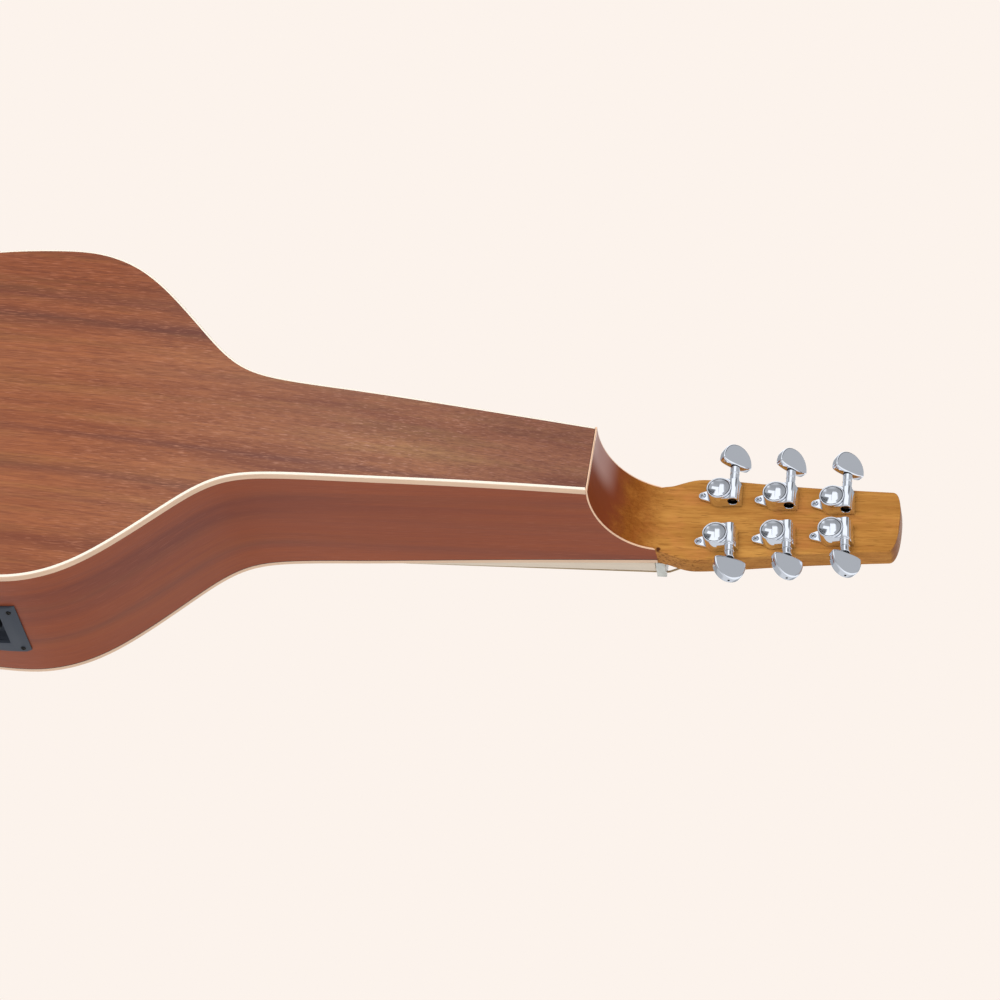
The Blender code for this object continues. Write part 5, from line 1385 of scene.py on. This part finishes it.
def bench_block(sizes):
    """Worm block: a flat web from the case, a round ridge over the worm and a sloped wall."""
    web_share = (sizes.block_height - WORM_HEIGHT) / sizes.ridge_radius
    round_from = math.pi - math.asin(web_share ** (1 / RIDGE_POWER))
    outline = [(0, sizes.block_height), (0, FLOOR), (sizes.block_end, FLOOR),
               (WORM_OUT + sizes.ridge_radius + 0.2 * MM, WORM_HEIGHT - 0.2 * MM)]
    for part in range(17):
        angle = round_from * part / 16
        across = math.copysign(abs(math.cos(angle)) ** RIDGE_POWER, math.cos(angle))
        outline.append((WORM_OUT + sizes.ridge_radius * across,
                        WORM_HEIGHT + sizes.ridge_radius * math.sin(angle) ** RIDGE_POWER))
    block = slab("block", outline, -sizes.block_half, sizes.block_half, 0.45 * MM)
    return laid(block, 90, "X")


def bench_screw():
    """Small domed screw with a cross in its head, for the ear."""
    screw = turned("screw", [(0, 0.9 * MM), (1.85 * MM, 0.9 * MM), (1.85 * MM, 1.9 * MM),
                             (1.7 * MM, 2.3 * MM), (1.2 * MM, 2.6 * MM), (0.6 * MM, 2.75 * MM),
                             (0, 2.8 * MM)], 40)
    for long, wide in ((1.1 * MM, 0.25 * MM), (0.25 * MM, 1.1 * MM)):
        combine(screw, box("cross", (-long, -wide, 1.9 * MM), (long, wide, 4 * MM)))
    return laid(tidy(screw, 30), 25, "Z", (-EAR_AT, 0, 0))


def bench_key(sizes):
    """Worm shaft, collar, boss and half-moon button."""
    start, end = sizes.button_from, sizes.button_from + sizes.button_height
    reach, wide, collar = sizes.neck_reach, sizes.neck_radius, sizes.washer_from
    shaft = turned("key", [
        (0, -3 * MM), (1.6 * MM, -3 * MM), (1.8 * MM, -2.6 * MM), (1.8 * MM, reach + 0.15 * MM),
        (wide - 0.15 * MM, reach + 0.15 * MM), (wide, reach + 0.3 * MM),
        (wide, reach + 2.2 * MM), (wide + 0.12 * MM, reach + 2.9 * MM),
        (wide + 0.12 * MM, collar - 0.2 * MM), (wide - 0.05 * MM, collar),
        (2.2 * MM, collar), (2.2 * MM, start + 1.5 * MM), (0, start + 1.5 * MM),
    ])
    corner = 3.3 * MM
    outline = []
    for part in range(40):
        angle = math.pi * 2 * part / 40
        up = math.sin(angle) >= 0
        power = 0.96 if up else 0.76
        x = math.copysign(abs(math.cos(angle)) ** power, math.cos(angle)) * sizes.button_half
        rise = abs(math.sin(angle)) ** power * (end - start - corner if up else corner)
        outline.append((x, start + corner + (rise if up else -rise)))
    half = sizes.button_thickness / 2
    button = slab("button", outline, -half, half, sizes.button_edge, 4)
    combine(shaft, laid(button, 90, "X"), "UNION")
    dimple = turned("dimple", [(0, end - 2.0 * MM), (0.7 * MM, end - 1.8 * MM),
                               (0.8 * MM, end + 1 * MM), (0, end + 1 * MM)])
    combine(shaft, dimple)
    return along_y(tidy(shaft, 30), WORM_OUT, WORM_HEIGHT)


def bench_worm():
    """End of the worm in the bore of its block, near-black as painted shade inside the bore."""
    worm = turned("worm", [(0, -6.7 * MM), (1.9 * MM, -6.7 * MM), (2.35 * MM, -6.2 * MM),
                           (2.35 * MM, -3.05 * MM), (0, -3.05 * MM)], 40)
    return along_y(worm, WORM_OUT, WORM_HEIGHT)


def bench_washer(sizes):
    """Black washer between the collar and the boss."""
    start, wide = sizes.washer_from, sizes.neck_radius
    washer = turned("washer", [
        (2.2 * MM, start), (wide - 0.1 * MM, start), (wide + 0.05 * MM, start + 0.12 * MM),
        (wide + 0.05 * MM, start + 0.6 * MM), (wide - 0.1 * MM, start + 0.72 * MM),
        (2.2 * MM, start + 0.72 * MM)], 40, closed=True)
    return along_y(washer, WORM_OUT, WORM_HEIGHT)


def bench_bushing():
    """Washer and hexagon nut on the front of the head, round the post."""
    front = -HEAD_THICKNESS
    washer = turned("bushing", [
        (POST_RADIUS + 0.35 * MM, front + 0.02 * MM), (6.6 * MM, front + 0.02 * MM),
        (6.6 * MM, front - 0.5 * MM), (6.3 * MM, front - 0.7 * MM),
        (POST_RADIUS + 0.35 * MM, front - 0.7 * MM),
    ], 64, closed=True)
    nut = drum("nut_tool", 5.8 * MM, front - 3.0 * MM, front - 0.6 * MM, 6)
    work(nut, "EDGE", lambda edge: edge.verts[0].co.z < front - 2.9 * MM
         and edge.verts[1].co.z < front - 2.9 * MM,
         (bpy.ops.mesh.bevel, {"offset": 0.35 * MM, "segments": 2, "affect": "EDGES"}))
    combine(nut, drum("bore_tool", POST_RADIUS + 0.35 * MM, front - 5 * MM, front + 1 * MM, 48))
    sleeve = turned("sleeve", [
        (POST_RADIUS + 0.3 * MM, front - 0.2 * MM), (4.3 * MM, front - 0.2 * MM),
        (4.3 * MM, front - 3.3 * MM), (4.0 * MM, front - 3.6 * MM),
        (POST_RADIUS + 0.3 * MM, front - 3.6 * MM),
    ], 48, closed=True)
    combine(nut, sleeve, "UNION")
    return tidy(combine(washer, nut, "UNION"), 30)


def bench_post():
    """String post with a waist, a rounded top and a hole for the string."""
    post = turned("post", [
        (0, -33 * MM), (1.6 * MM, -32.9 * MM), (2.4 * MM, -32.6 * MM), (2.85 * MM, -32.1 * MM),
        (POST_RADIUS, -31.4 * MM), (POST_RADIUS, -26.5 * MM), (2.75 * MM, -25 * MM),
        (2.7 * MM, -22 * MM), (2.8 * MM, -19.4 * MM), (POST_RADIUS, -18 * MM),
        (POST_RADIUS, 4 * MM), (0, 4 * MM),
    ])
    hole = drum("hole_tool", 0.95 * MM, -9 * MM, 9 * MM, 24)
    combine(post, laid(hole, 90, "Y", (0, 0, -28.4 * MM)))
    return tidy(post, 30)


class GUITAR_OT_tuners(bpy.types.Operator):
    """Six tuners, each with its case, screw, key, washer, bushing and post"""

    bl_idname = "guitar.tuners"
    bl_label = "Tuners"

    def execute(self, context):
        sizes = context.scene.guitar_tuner
        worm = Matrix.Translation((WORM_OUT, 0, -WORM_HEIGHT))
        masters = (
            ("case", bench_case(sizes), "chrome", "guitar", "tuner_housing"),
            ("ear_screw", bench_screw(), "chrome", "guitar", None),
            ("key", bench_key(sizes), "chrome", "key", "tuner_key"),
            # The worm's near-black end is painted shade inside the bore.
            ("worm", bench_worm(), "black_steel", "key", None),
            ("key_washer", bench_washer(sizes), "washer", "key", None),
            ("bushing", bench_bushing(), "chrome", "guitar", None),
            ("string_post", bench_post(), "chrome", "post", "tuner_post"),
        )
        for part, master, look, rides, node in masters:
            for side in ("bass", "treble"):
                for number in (1, 2, 3):
                    label = f"{side}_{number}"
                    made = master.copy()
                    made.data = master.data.copy()
                    made.name = f"{part}_{label}"
                    context.scene.collection.objects.link(made)
                    turn = Matrix.Identity(4)
                    if rides == "key":
                        spin = Matrix.Rotation(BUTTON_TURNS[(side, number)], 4, "Y")
                        turn = worm @ spin @ worm.inverted()
                    bench = Matrix.Diagonal((1, 1 if side == "bass" else -1, -1, 1))
                    lean = Matrix.Rotation(TUNER_LEANS[side], 4, "Z")
                    place = Matrix.Translation(post_place(side, number)) @ lean
                    made.data.transform(HEAD @ place @ turn @ bench)
                    if side == "bass":
                        made.data.flip_normals()
                    body = BODY if rides == "guitar" else f"{rides}_{label}"
                    keep(made, look, body, [f"{node}_{label}"] if node else [])
            bpy.data.objects.remove(master)
        return {"FINISHED"}


# Preamp and jack

class GUITAR_OT_preamp(bpy.types.Operator):
    """Panel let into the bass side, with its screws, knob and sliders"""

    bl_idname = "guitar.preamp"
    bl_label = "Preamp"

    def execute(self, context):
        place = preamp_matrix()
        panel = self.panel(place)
        keep(panel, "plastic", nodes=["preamp_housing"])
        screws = []
        for x in (-1, 1):
            for z in (-1, 1):
                screw = turned("panel_screw", [
                    (0, -0.4 * MM), (1.7 * MM, -0.4 * MM), (1.7 * MM, 0.25 * MM),
                    (1.4 * MM, 0.6 * MM), (0.7 * MM, 0.8 * MM), (0, 0.85 * MM)], 28)
                for long, wide in ((1.1 * MM, 0.2 * MM), (0.2 * MM, 1.1 * MM)):
                    combine(screw, box("cross", (-long, -wide, 0.3 * MM), (long, wide, 2 * MM)))
                across = PREAMP_LENGTH / 2 - 4.6 * MM
                up = PREAMP_WIDTH / 2 - 4.6 * MM
                run = run_at(-PREAMP_AT) - x * across
                out = Vector((*edge_place(run, -PREAMP_PROUD), 0)) + NUT
                local = place.inverted() @ out
                laid(screw, -90, "X", (local.x, local.y - 0.15 * MM, z * up))
                screw.data.transform(place)
                screws.append(tidy(screw, 30))
        keep(joined("panel_screws", *screws), "black_steel")
        self.knob(place)
        for number, name in enumerate(("bass", "middle", "treble")):
            self.slider(place, name, -24 * MM + 13 * MM * number)
        return {"FINISHED"}

    def panel(self, place):
        """The panel that follows the side, with its sloped pocket and slots."""
        middle = run_at(-PREAMP_AT)
        half_wide = PREAMP_WIDTH / 2
        sections = []
        steps = 30
        for part in range(steps + 1):
            share = 2 * part / steps - 1
            run = middle + PREAMP_LENGTH / 2 * share
            from_end = (1 - abs(share)) * PREAMP_LENGTH / 2
            inside = max(1.3 * MM - from_end, 0)
            drop = 1.3 * MM - math.sqrt(max((1.3 * MM) ** 2 - inside**2, 0))
            section = []
            for depth, z in ((-GAP, -half_wide), (-PREAMP_PROUD + 1.3 * MM, -half_wide),
                             (-PREAMP_PROUD + 0.4 * MM, 0.4 * MM - half_wide),
                             (-PREAMP_PROUD, 1.3 * MM - half_wide),
                             (-PREAMP_PROUD, half_wide - 1.3 * MM),
                             (-PREAMP_PROUD + 0.4 * MM, half_wide - 0.4 * MM),
                             (-PREAMP_PROUD + 1.3 * MM, half_wide), (-GAP, half_wide)):
                depth = min(depth + drop, -GAP)
                section.append(side_point(run, z - PREAMP_BELOW_TOP, depth))
            sections.append(section)
        panel = loft("preamp_panel", sections, angle=25)
        low = (-POCKET_LENGTH / 2 - 3 * MM, -13 * MM, -POCKET_WIDTH / 2 - 3 * MM)
        high = (POCKET_LENGTH / 2 + 3 * MM, -1 * MM, POCKET_WIDTH / 2 + 3 * MM)
        shell = box("shell_tool", low, high)
        shell.data.transform(place)
        combine(panel, shell, "UNION")
        pocket = box("pocket_tool", (-POCKET_LENGTH / 2, -POCKET_DEPTH, -POCKET_WIDTH / 2),
                     (POCKET_LENGTH / 2, 6 * MM, POCKET_WIDTH / 2))
        for vert in pocket.data.vertices:
            if vert.co.y < 0:
                vert.co.x -= math.copysign(3.2 * MM, vert.co.x)
                vert.co.z -= math.copysign(2.6 * MM, vert.co.z)
        work(pocket, "EDGE", everything,
             (bpy.ops.mesh.bevel, {"offset": 0.7 * MM, "segments": 2, "affect": "EDGES"}))
        pocket.data.transform(place)
        combine(panel, pocket)
        for along in (-24 * MM, -11 * MM, 2 * MM):
            slot = box("slot_tool", (along - 1.1 * MM, -12 * MM, -10.5 * MM),
                       (along + 1.1 * MM, -5 * MM, 10.5 * MM))
            slot.data.transform(place)
            combine(panel, slot)
        well = laid(drum("well_tool", 2.4 * MM, -12 * MM, -5 * MM, 32), -90, "X")
        well.data.transform(place @ Matrix.Translation((KNOB_ALONG, 0, 0)))
        combine(panel, well)
        return tidy(panel, 25)

    def knob(self, place):
        """Volume knob with a fluted rim and a pale line."""
        knob = turned("volume_dial", [
            (0, -5.5 * MM), (2 * MM, -5.5 * MM), (2 * MM, 0.35 * MM), (6.3 * MM, 0.35 * MM),
            (6.5 * MM, 0.6 * MM), (6.5 * MM, 4.6 * MM), (6.2 * MM, 5.4 * MM), (5.4 * MM, 5.9 * MM),
            (4.8 * MM, 6 * MM), (4.3 * MM, 5.6 * MM), (0, 5.5 * MM)], 72)
        flutes = []
        for part in range(24):
            angle = 2 * math.pi * part / 24
            flute = drum("flute", 0.35 * MM, 1.2 * MM, 9 * MM, 10,
                         (6.6 * MM * math.cos(angle), 6.6 * MM * math.sin(angle)))
            flutes.append(flute)
        combine(knob, joined("flutes", *flutes))
        tidy(knob, 30)
        mark = box("dial_mark", (-0.35 * MM, 2.2 * MM, 5.4 * MM), (0.35 * MM, 6.1 * MM, 6.1 * MM),
                   0.1 * MM, 2)
        for obj, look, nodes in ((knob, "washer", ["preamp_volume_knob"]), (mark, "bone", [])):
            laid(obj, -90, "X", (KNOB_ALONG, -POCKET_DEPTH, 0))
            obj.data.transform(place)
            keep(obj, look, "volume_knob", nodes)

    def slider(self, place, name, along):
        """Slider cap with ridges, on its stem."""
        floor = -POCKET_DEPTH
        cap = box(f"slider_cap_{name}", (along - 3.5 * MM, floor + 0.35 * MM, -2 * MM),
                  (along + 3.5 * MM, floor + 4.35 * MM, 2 * MM), 0.5 * MM, 3)
        for part in (-1, 0, 1):
            z = part * 1.1 * MM
            groove = box("groove", (along - 5 * MM, floor + 4.0 * MM, z - 0.22 * MM),
                         (along + 5 * MM, floor + 6 * MM, z + 0.22 * MM))
            combine(cap, groove)
        stem = box("stem", (along - 0.7 * MM, floor - 5 * MM, -0.7 * MM),
                   (along + 0.7 * MM, floor + 1 * MM, 0.7 * MM))
        combine(cap, stem, "UNION")
        mark = box(f"slider_mark_{name}", (along - 3.1 * MM, floor + 4.1 * MM, -0.18 * MM),
                   (along + 3.1 * MM, floor + 4.3 * MM, 0.18 * MM))
        for obj, look, nodes in ((tidy(cap, 30), "washer", [f"preamp_slider_{name}"]),
                                 (mark, "bone", [])):
            obj.data.transform(place)
            keep(obj, look, f"slider_{name}", nodes)


class GUITAR_OT_jack(bpy.types.Operator):
    """Output jack in the tail, which is also the strap pin"""

    bl_idname = "guitar.jack"
    bl_label = "Jack"

    def execute(self, context):
        jack = turned("strap_jack", [
            (JACK_BORE, 22 * MM), (JACK_BORE, -9.9 * MM), (JACK_BORE + 0.3 * MM, -10.3 * MM),
            (4.6 * MM, -10.5 * MM), (7.3 * MM, -10.5 * MM), (8.1 * MM, -10.2 * MM),
            (8.5 * MM, -9.6 * MM), (8.5 * MM, -8.7 * MM), (8.1 * MM, -8.2 * MM),
            (6.4 * MM, -7.7 * MM), (5.4 * MM, -7.0 * MM), (5.2 * MM, -6.0 * MM),
            (5.3 * MM, -4.2 * MM), (6.2 * MM, -3.2 * MM), (8.2 * MM, -2.3 * MM),
            (8.5 * MM, -1.6 * MM), (8.5 * MM, -0.4 * MM), (5.8 * MM, -0.3 * MM),
            (5.8 * MM, 26 * MM), (4.8 * MM, 26 * MM), (4.8 * MM, 22 * MM),
        ], 64, closed=True)
        laid(jack, 90, "Y", NUT + Vector((-BODY_LENGTH * MM, 0, -JACK_BELOW_TOP)))
        keep(jack, "steel", nodes=["end_pin_jack"])
        return {"FINISHED"}


class GUITAR_OT_finishes(bpy.types.Operator):
    """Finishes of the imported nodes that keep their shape"""

    bl_idname = "guitar.finishes"
    bl_label = "Finishes"

    def execute(self, context):
        for name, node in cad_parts.items():
            if name.startswith("string_"):
                continue
            dress(node, finish_of(name))
        return {"FINISHED"}


def finish_of(name):
    """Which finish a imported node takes."""
    starts = (
        ("soundboard", "top"), ("back_plate", "back"), ("rib_", "side"),
        ("top_binding", "cream"), ("back_binding", "cream"), ("fingerboard_binding", "pale"),
        ("heel_binding", "peach"), ("neck_", "neck"), ("fingerboard", "board"),
        ("bridge_pin", "bone"), ("bridge_plate", "inner"), ("bridge", "board"),
        ("nut", "bone"), ("saddle", "bone"), ("tuner_", "chrome"),
        ("preamp_", "plastic"), ("end_pin", "steel"),
    )
    for start, look in starts:
        if name.startswith(start):
            return look
    return "inner"

# Stage

VIEW_TILT = math.radians(36.08)
VIEW_YAW = math.radians(11.09)
VIEW_ROLL = math.radians(2.46)
VIEW_DISTANCE = 2.2075
VIEW_ACROSS = -0.10651
VIEW_DOWN = -0.02066
LENS_MM = 121.6


class GuitarStageSizes(bpy.types.PropertyGroup):
    """Sizes and strengths of the stage."""

    background: colour("Background", "Plain cream behind the guitar", (0.975, 0.896, 0.838))
    floor_size: bpy.props.FloatProperty(
        name="Floor size", description="Side of the square floor", default=12.0, unit="LENGTH"
    )
    room: bpy.props.FloatProperty(
        name="Room light", description="Strength of the soft light from all round", default=0.55
    )
    panel_light: bpy.props.FloatProperty(
        name="Panel shine", description="Strength of the soft panel seen in the metal", default=1.15
    )


def view_matrix():
    """The camera's place and turn, from angles and distances measured from the nut."""
    turned_view = Matrix.Rotation(VIEW_ROLL, 3, "Z") @ Matrix.Rotation(VIEW_YAW, 3, "Y")
    turned_view = turned_view @ Matrix.Rotation(-VIEW_TILT, 3, "X")
    right, down, away = turned_view
    eye = turned_view.transposed() @ Vector((VIEW_ACROSS, VIEW_DOWN, -VIEW_DISTANCE))
    matrix = Matrix((right, -down, -away)).transposed().to_4x4()
    matrix.translation = NUT + eye
    return matrix


class GUITAR_OT_stage(bpy.types.Operator):
    """Camera, soft lights, cream surroundings and the floor"""

    bl_idname = "guitar.stage"
    bl_label = "Stage"

    def execute(self, context):
        sizes = context.scene.guitar_stage
        scene = context.scene
        scene.view_settings.view_transform = "Standard"
        bpy.ops.object.select_all(action="DESELECT")
        bpy.ops.object.camera_add()
        camera = context.object
        camera.name = "camera"
        camera.matrix_world = view_matrix()
        camera.data.lens = LENS_MM
        camera.data.sensor_width = 36
        camera.data.clip_end = 50
        scene.camera = camera
        self.surroundings(scene, sizes)
        right, up, back = (camera.matrix_world.to_3x3().col[index] for index in range(3))
        middle = Vector((0.2, 0, 0.06))
        for name, side, rise, ahead, power, size in (
            ("key_light", -0.9, 1.5, 1.6, 34, 1.4),
            ("fill_light", 1.4, 0.2, 1.7, 12, 1.8),
            ("low_light", -0.2, -1.5, 1.3, 9, 1.6),
        ):
            place = middle + right * side + up * rise + back * ahead
            self.lamp(context, name, place, middle, power, size)
        for name, place, power, size in (
            ("top_light", (0.3, -0.8, 2.2), 40, 1.8),
            ("top_fill", (-1.2, 1.2, 1.8), 20, 1.8),
        ):
            self.lamp(context, name, Vector(place), middle, power, size)

        bpy.ops.object.select_all(action="DESELECT")
        bpy.ops.mesh.primitive_plane_add(size=sizes.floor_size)
        floor = context.object
        floor.name = "floor"
        floor.data.materials.append(self.floor_material(sizes.background))
        floor.visible_shadow = False
        floor.visible_diffuse = False
        floor.visible_glossy = False
        floor.visible_transmission = False
        return {"FINISHED"}

    def lamp(self, context, name, place, middle, power, size):
        """One soft square lamp that faces the guitar, and isn't seen in its metal."""
        bpy.ops.object.light_add(type="AREA")
        lamp = context.object
        lamp.name = name
        lamp.data.energy = power
        lamp.data.size = size
        lamp.location = place
        lamp.rotation_euler = (place - middle).to_track_quat("Z", "Y").to_euler()
        lamp.visible_glossy = False

    def surroundings(self, scene, sizes):
        """Cream background, even room light, and the soft panels that the metal shows."""
        world = bpy.data.worlds.new("cream_room")
        world.use_nodes = True
        scene.world = world
        nodes = world.node_tree.nodes
        links = world.node_tree.links

        def add(kind, settings=None, **inputs):
            node = nodes.new(kind)
            for key, value in (settings or {}).items():
                setattr(node, key, value)
            for key, value in inputs.items():
                socket = node.inputs[int(key[1:])] if key[1:].isdigit() else node.inputs[key]
                if isinstance(value, bpy.types.NodeSocket):
                    links.new(value, socket)
                else:
                    socket.default_value = value
            return node

        room = nodes["Background"]
        room.inputs["Color"].default_value = (0.93, 0.95, 1.0, 1)
        room.inputs["Strength"].default_value = sizes.room
        heading = add("ShaderNodeTexCoord").outputs["Generated"]
        axes = add("ShaderNodeSeparateXYZ", Vector=heading)
        height = add("ShaderNodeMath", {"operation": "ABSOLUTE"}, _0=axes.outputs["Z"])
        folded = add("ShaderNodeCombineXYZ", X=axes.outputs["X"], Y=axes.outputs["Y"],
                     Z=height.outputs[0])

        def edge(value, start, end, low=0.0, high=1.0):
            node = add("ShaderNodeMapRange", {"interpolation_type": "SMOOTHSTEP"}, Value=value)
            for key, number in (("From Min", start), ("From Max", end), ("To Min", low),
                                ("To Max", high)):
                node.inputs[key].default_value = number
            return node.outputs["Result"]

        def times(first, second):
            return add("ShaderNodeMath", {"operation": "MULTIPLY"}, _0=first, _1=second).outputs[0]

        def blend(share, first, second):
            node = add("ShaderNodeMix", {"data_type": "FLOAT"}, _0=share, _2=first, _3=second)
            return node.outputs[0]

        across, along = axes.outputs["X"], axes.outputs["Y"]
        cloud = add("ShaderNodeTexNoise", Vector=folded.outputs[0], Scale=7.0, Detail=2.0)
        uneven = edge(cloud.outputs["Fac"], 0.35, 0.65, 0.96, 1.03)
        level = times(edge(along, -0.9, 0.9, 0.50, 0.30), uneven)
        level = blend(edge(along, 0.08, 0.30), level, 0.72)
        bright = times(edge(along, -0.30, -0.05), edge(across, 0.25, 0.45))
        level = blend(bright, level, 1.05)
        level = blend(edge(across, -0.62, -0.42, 0.45, 0.0), level, 0.30)
        low_down = edge(along, -0.42, -0.32, 1.0, 0.0)
        lowest = edge(along, -0.72, -0.62, 1.0, 0.0)
        beside = times(times(edge(across, 0.06, 0.12), edge(across, 0.42, 0.55, 1.0, 0.0)), lowest)
        spots = edge(cloud.outputs["Fac"], 0.48, 0.56, 0.22, 0.03)
        level = blend(beside, level, spots)
        end = edge(along, -0.66, -0.60, 0.04, 0.36)
        before_end = add("ShaderNodeMath", {"operation": "LESS_THAN"}, _0=across, _1=end).outputs[0]
        in_panel = times(times(edge(across, -0.40, -0.36), before_end), low_down)
        shine = blend(in_panel, level, sizes.panel_light)
        shown = add("ShaderNodeBackground", Color=(0.95, 0.97, 1.0, 1), Strength=shine)
        seen = add("ShaderNodeBackground", Color=(*sizes.background, 1))
        path = add("ShaderNodeLightPath")
        in_metal = add("ShaderNodeMixShader", _0=path.outputs["Is Glossy Ray"],
                       _1=room.outputs[0], _2=shown.outputs[0])
        both = add("ShaderNodeMixShader", _0=path.outputs["Is Camera Ray"],
                   _1=in_metal.outputs[0], _2=seen.outputs[0])
        links.new(both.outputs[0], nodes["World Output"].inputs[0])

    def floor_material(self, background):
        """Pale floor that is open to a view from underneath."""
        made = bpy.data.materials.new("pale_floor")
        made.use_nodes = True
        nodes = made.node_tree.nodes
        links = made.node_tree.links
        shader = nodes["Principled BSDF"]
        shader.inputs["Base Color"].default_value = (*background, 1)
        shader.inputs["Roughness"].default_value = 0.9
        side = nodes.new("ShaderNodeNewGeometry")
        clear = nodes.new("ShaderNodeBsdfTransparent")
        both = nodes.new("ShaderNodeMixShader")
        links.new(side.outputs["Backfacing"], both.inputs[0])
        links.new(shader.outputs[0], both.inputs[1])
        links.new(clear.outputs[0], both.inputs[2])
        links.new(both.outputs[0], nodes["Material Output"].inputs[0])
        return made


class GUITAR_PT_panel(bpy.types.Panel):
    """Buttons for each group of pieces"""

    bl_idname = "GUITAR_PT_panel"
    bl_label = "Lap Slide Guitar"
    bl_space_type = "VIEW_3D"
    bl_region_type = "UI"
    bl_category = "Guitar"

    def draw(self, context):
        for operator in STEPS:
            self.layout.operator(operator.bl_idname)


STEPS = (
    GUITAR_OT_finishes, GUITAR_OT_plates, GUITAR_OT_sides, GUITAR_OT_strips, GUITAR_OT_neck,
    GUITAR_OT_fingerboard, GUITAR_OT_bridge, GUITAR_OT_strings, GUITAR_OT_tuners,
    GUITAR_OT_preamp, GUITAR_OT_jack, GUITAR_OT_stage,
)
SIZE_GROUPS = {
    "guitar_body": GuitarBodySizes,
    "guitar_head": GuitarHeadSizes,
    "guitar_tuner": GuitarTunerSizes,
    "guitar_palette": GuitarPalette,
    "guitar_stage": GuitarStageSizes,
}


def register():
    """Register the sizes, the operators and the panel."""
    for name, group in SIZE_GROUPS.items():
        bpy.utils.register_class(group)
        setattr(bpy.types.Scene, name, bpy.props.PointerProperty(type=group))
    for operator in STEPS:
        bpy.utils.register_class(operator)
    bpy.utils.register_class(GUITAR_PT_panel)


def unregister():
    """Take everything out again."""
    bpy.utils.unregister_class(GUITAR_PT_panel)
    for operator in reversed(STEPS):
        bpy.utils.unregister_class(operator)
    for name, group in SIZE_GROUPS.items():
        delattr(bpy.types.Scene, name)
        bpy.utils.unregister_class(group)


def main():
    """Dress the guitar."""
    register()
    for operator in STEPS:
        group, name = operator.bl_idname.split(".")
        getattr(getattr(bpy.ops, group), name)()


if __name__ == "__main__":
    main()
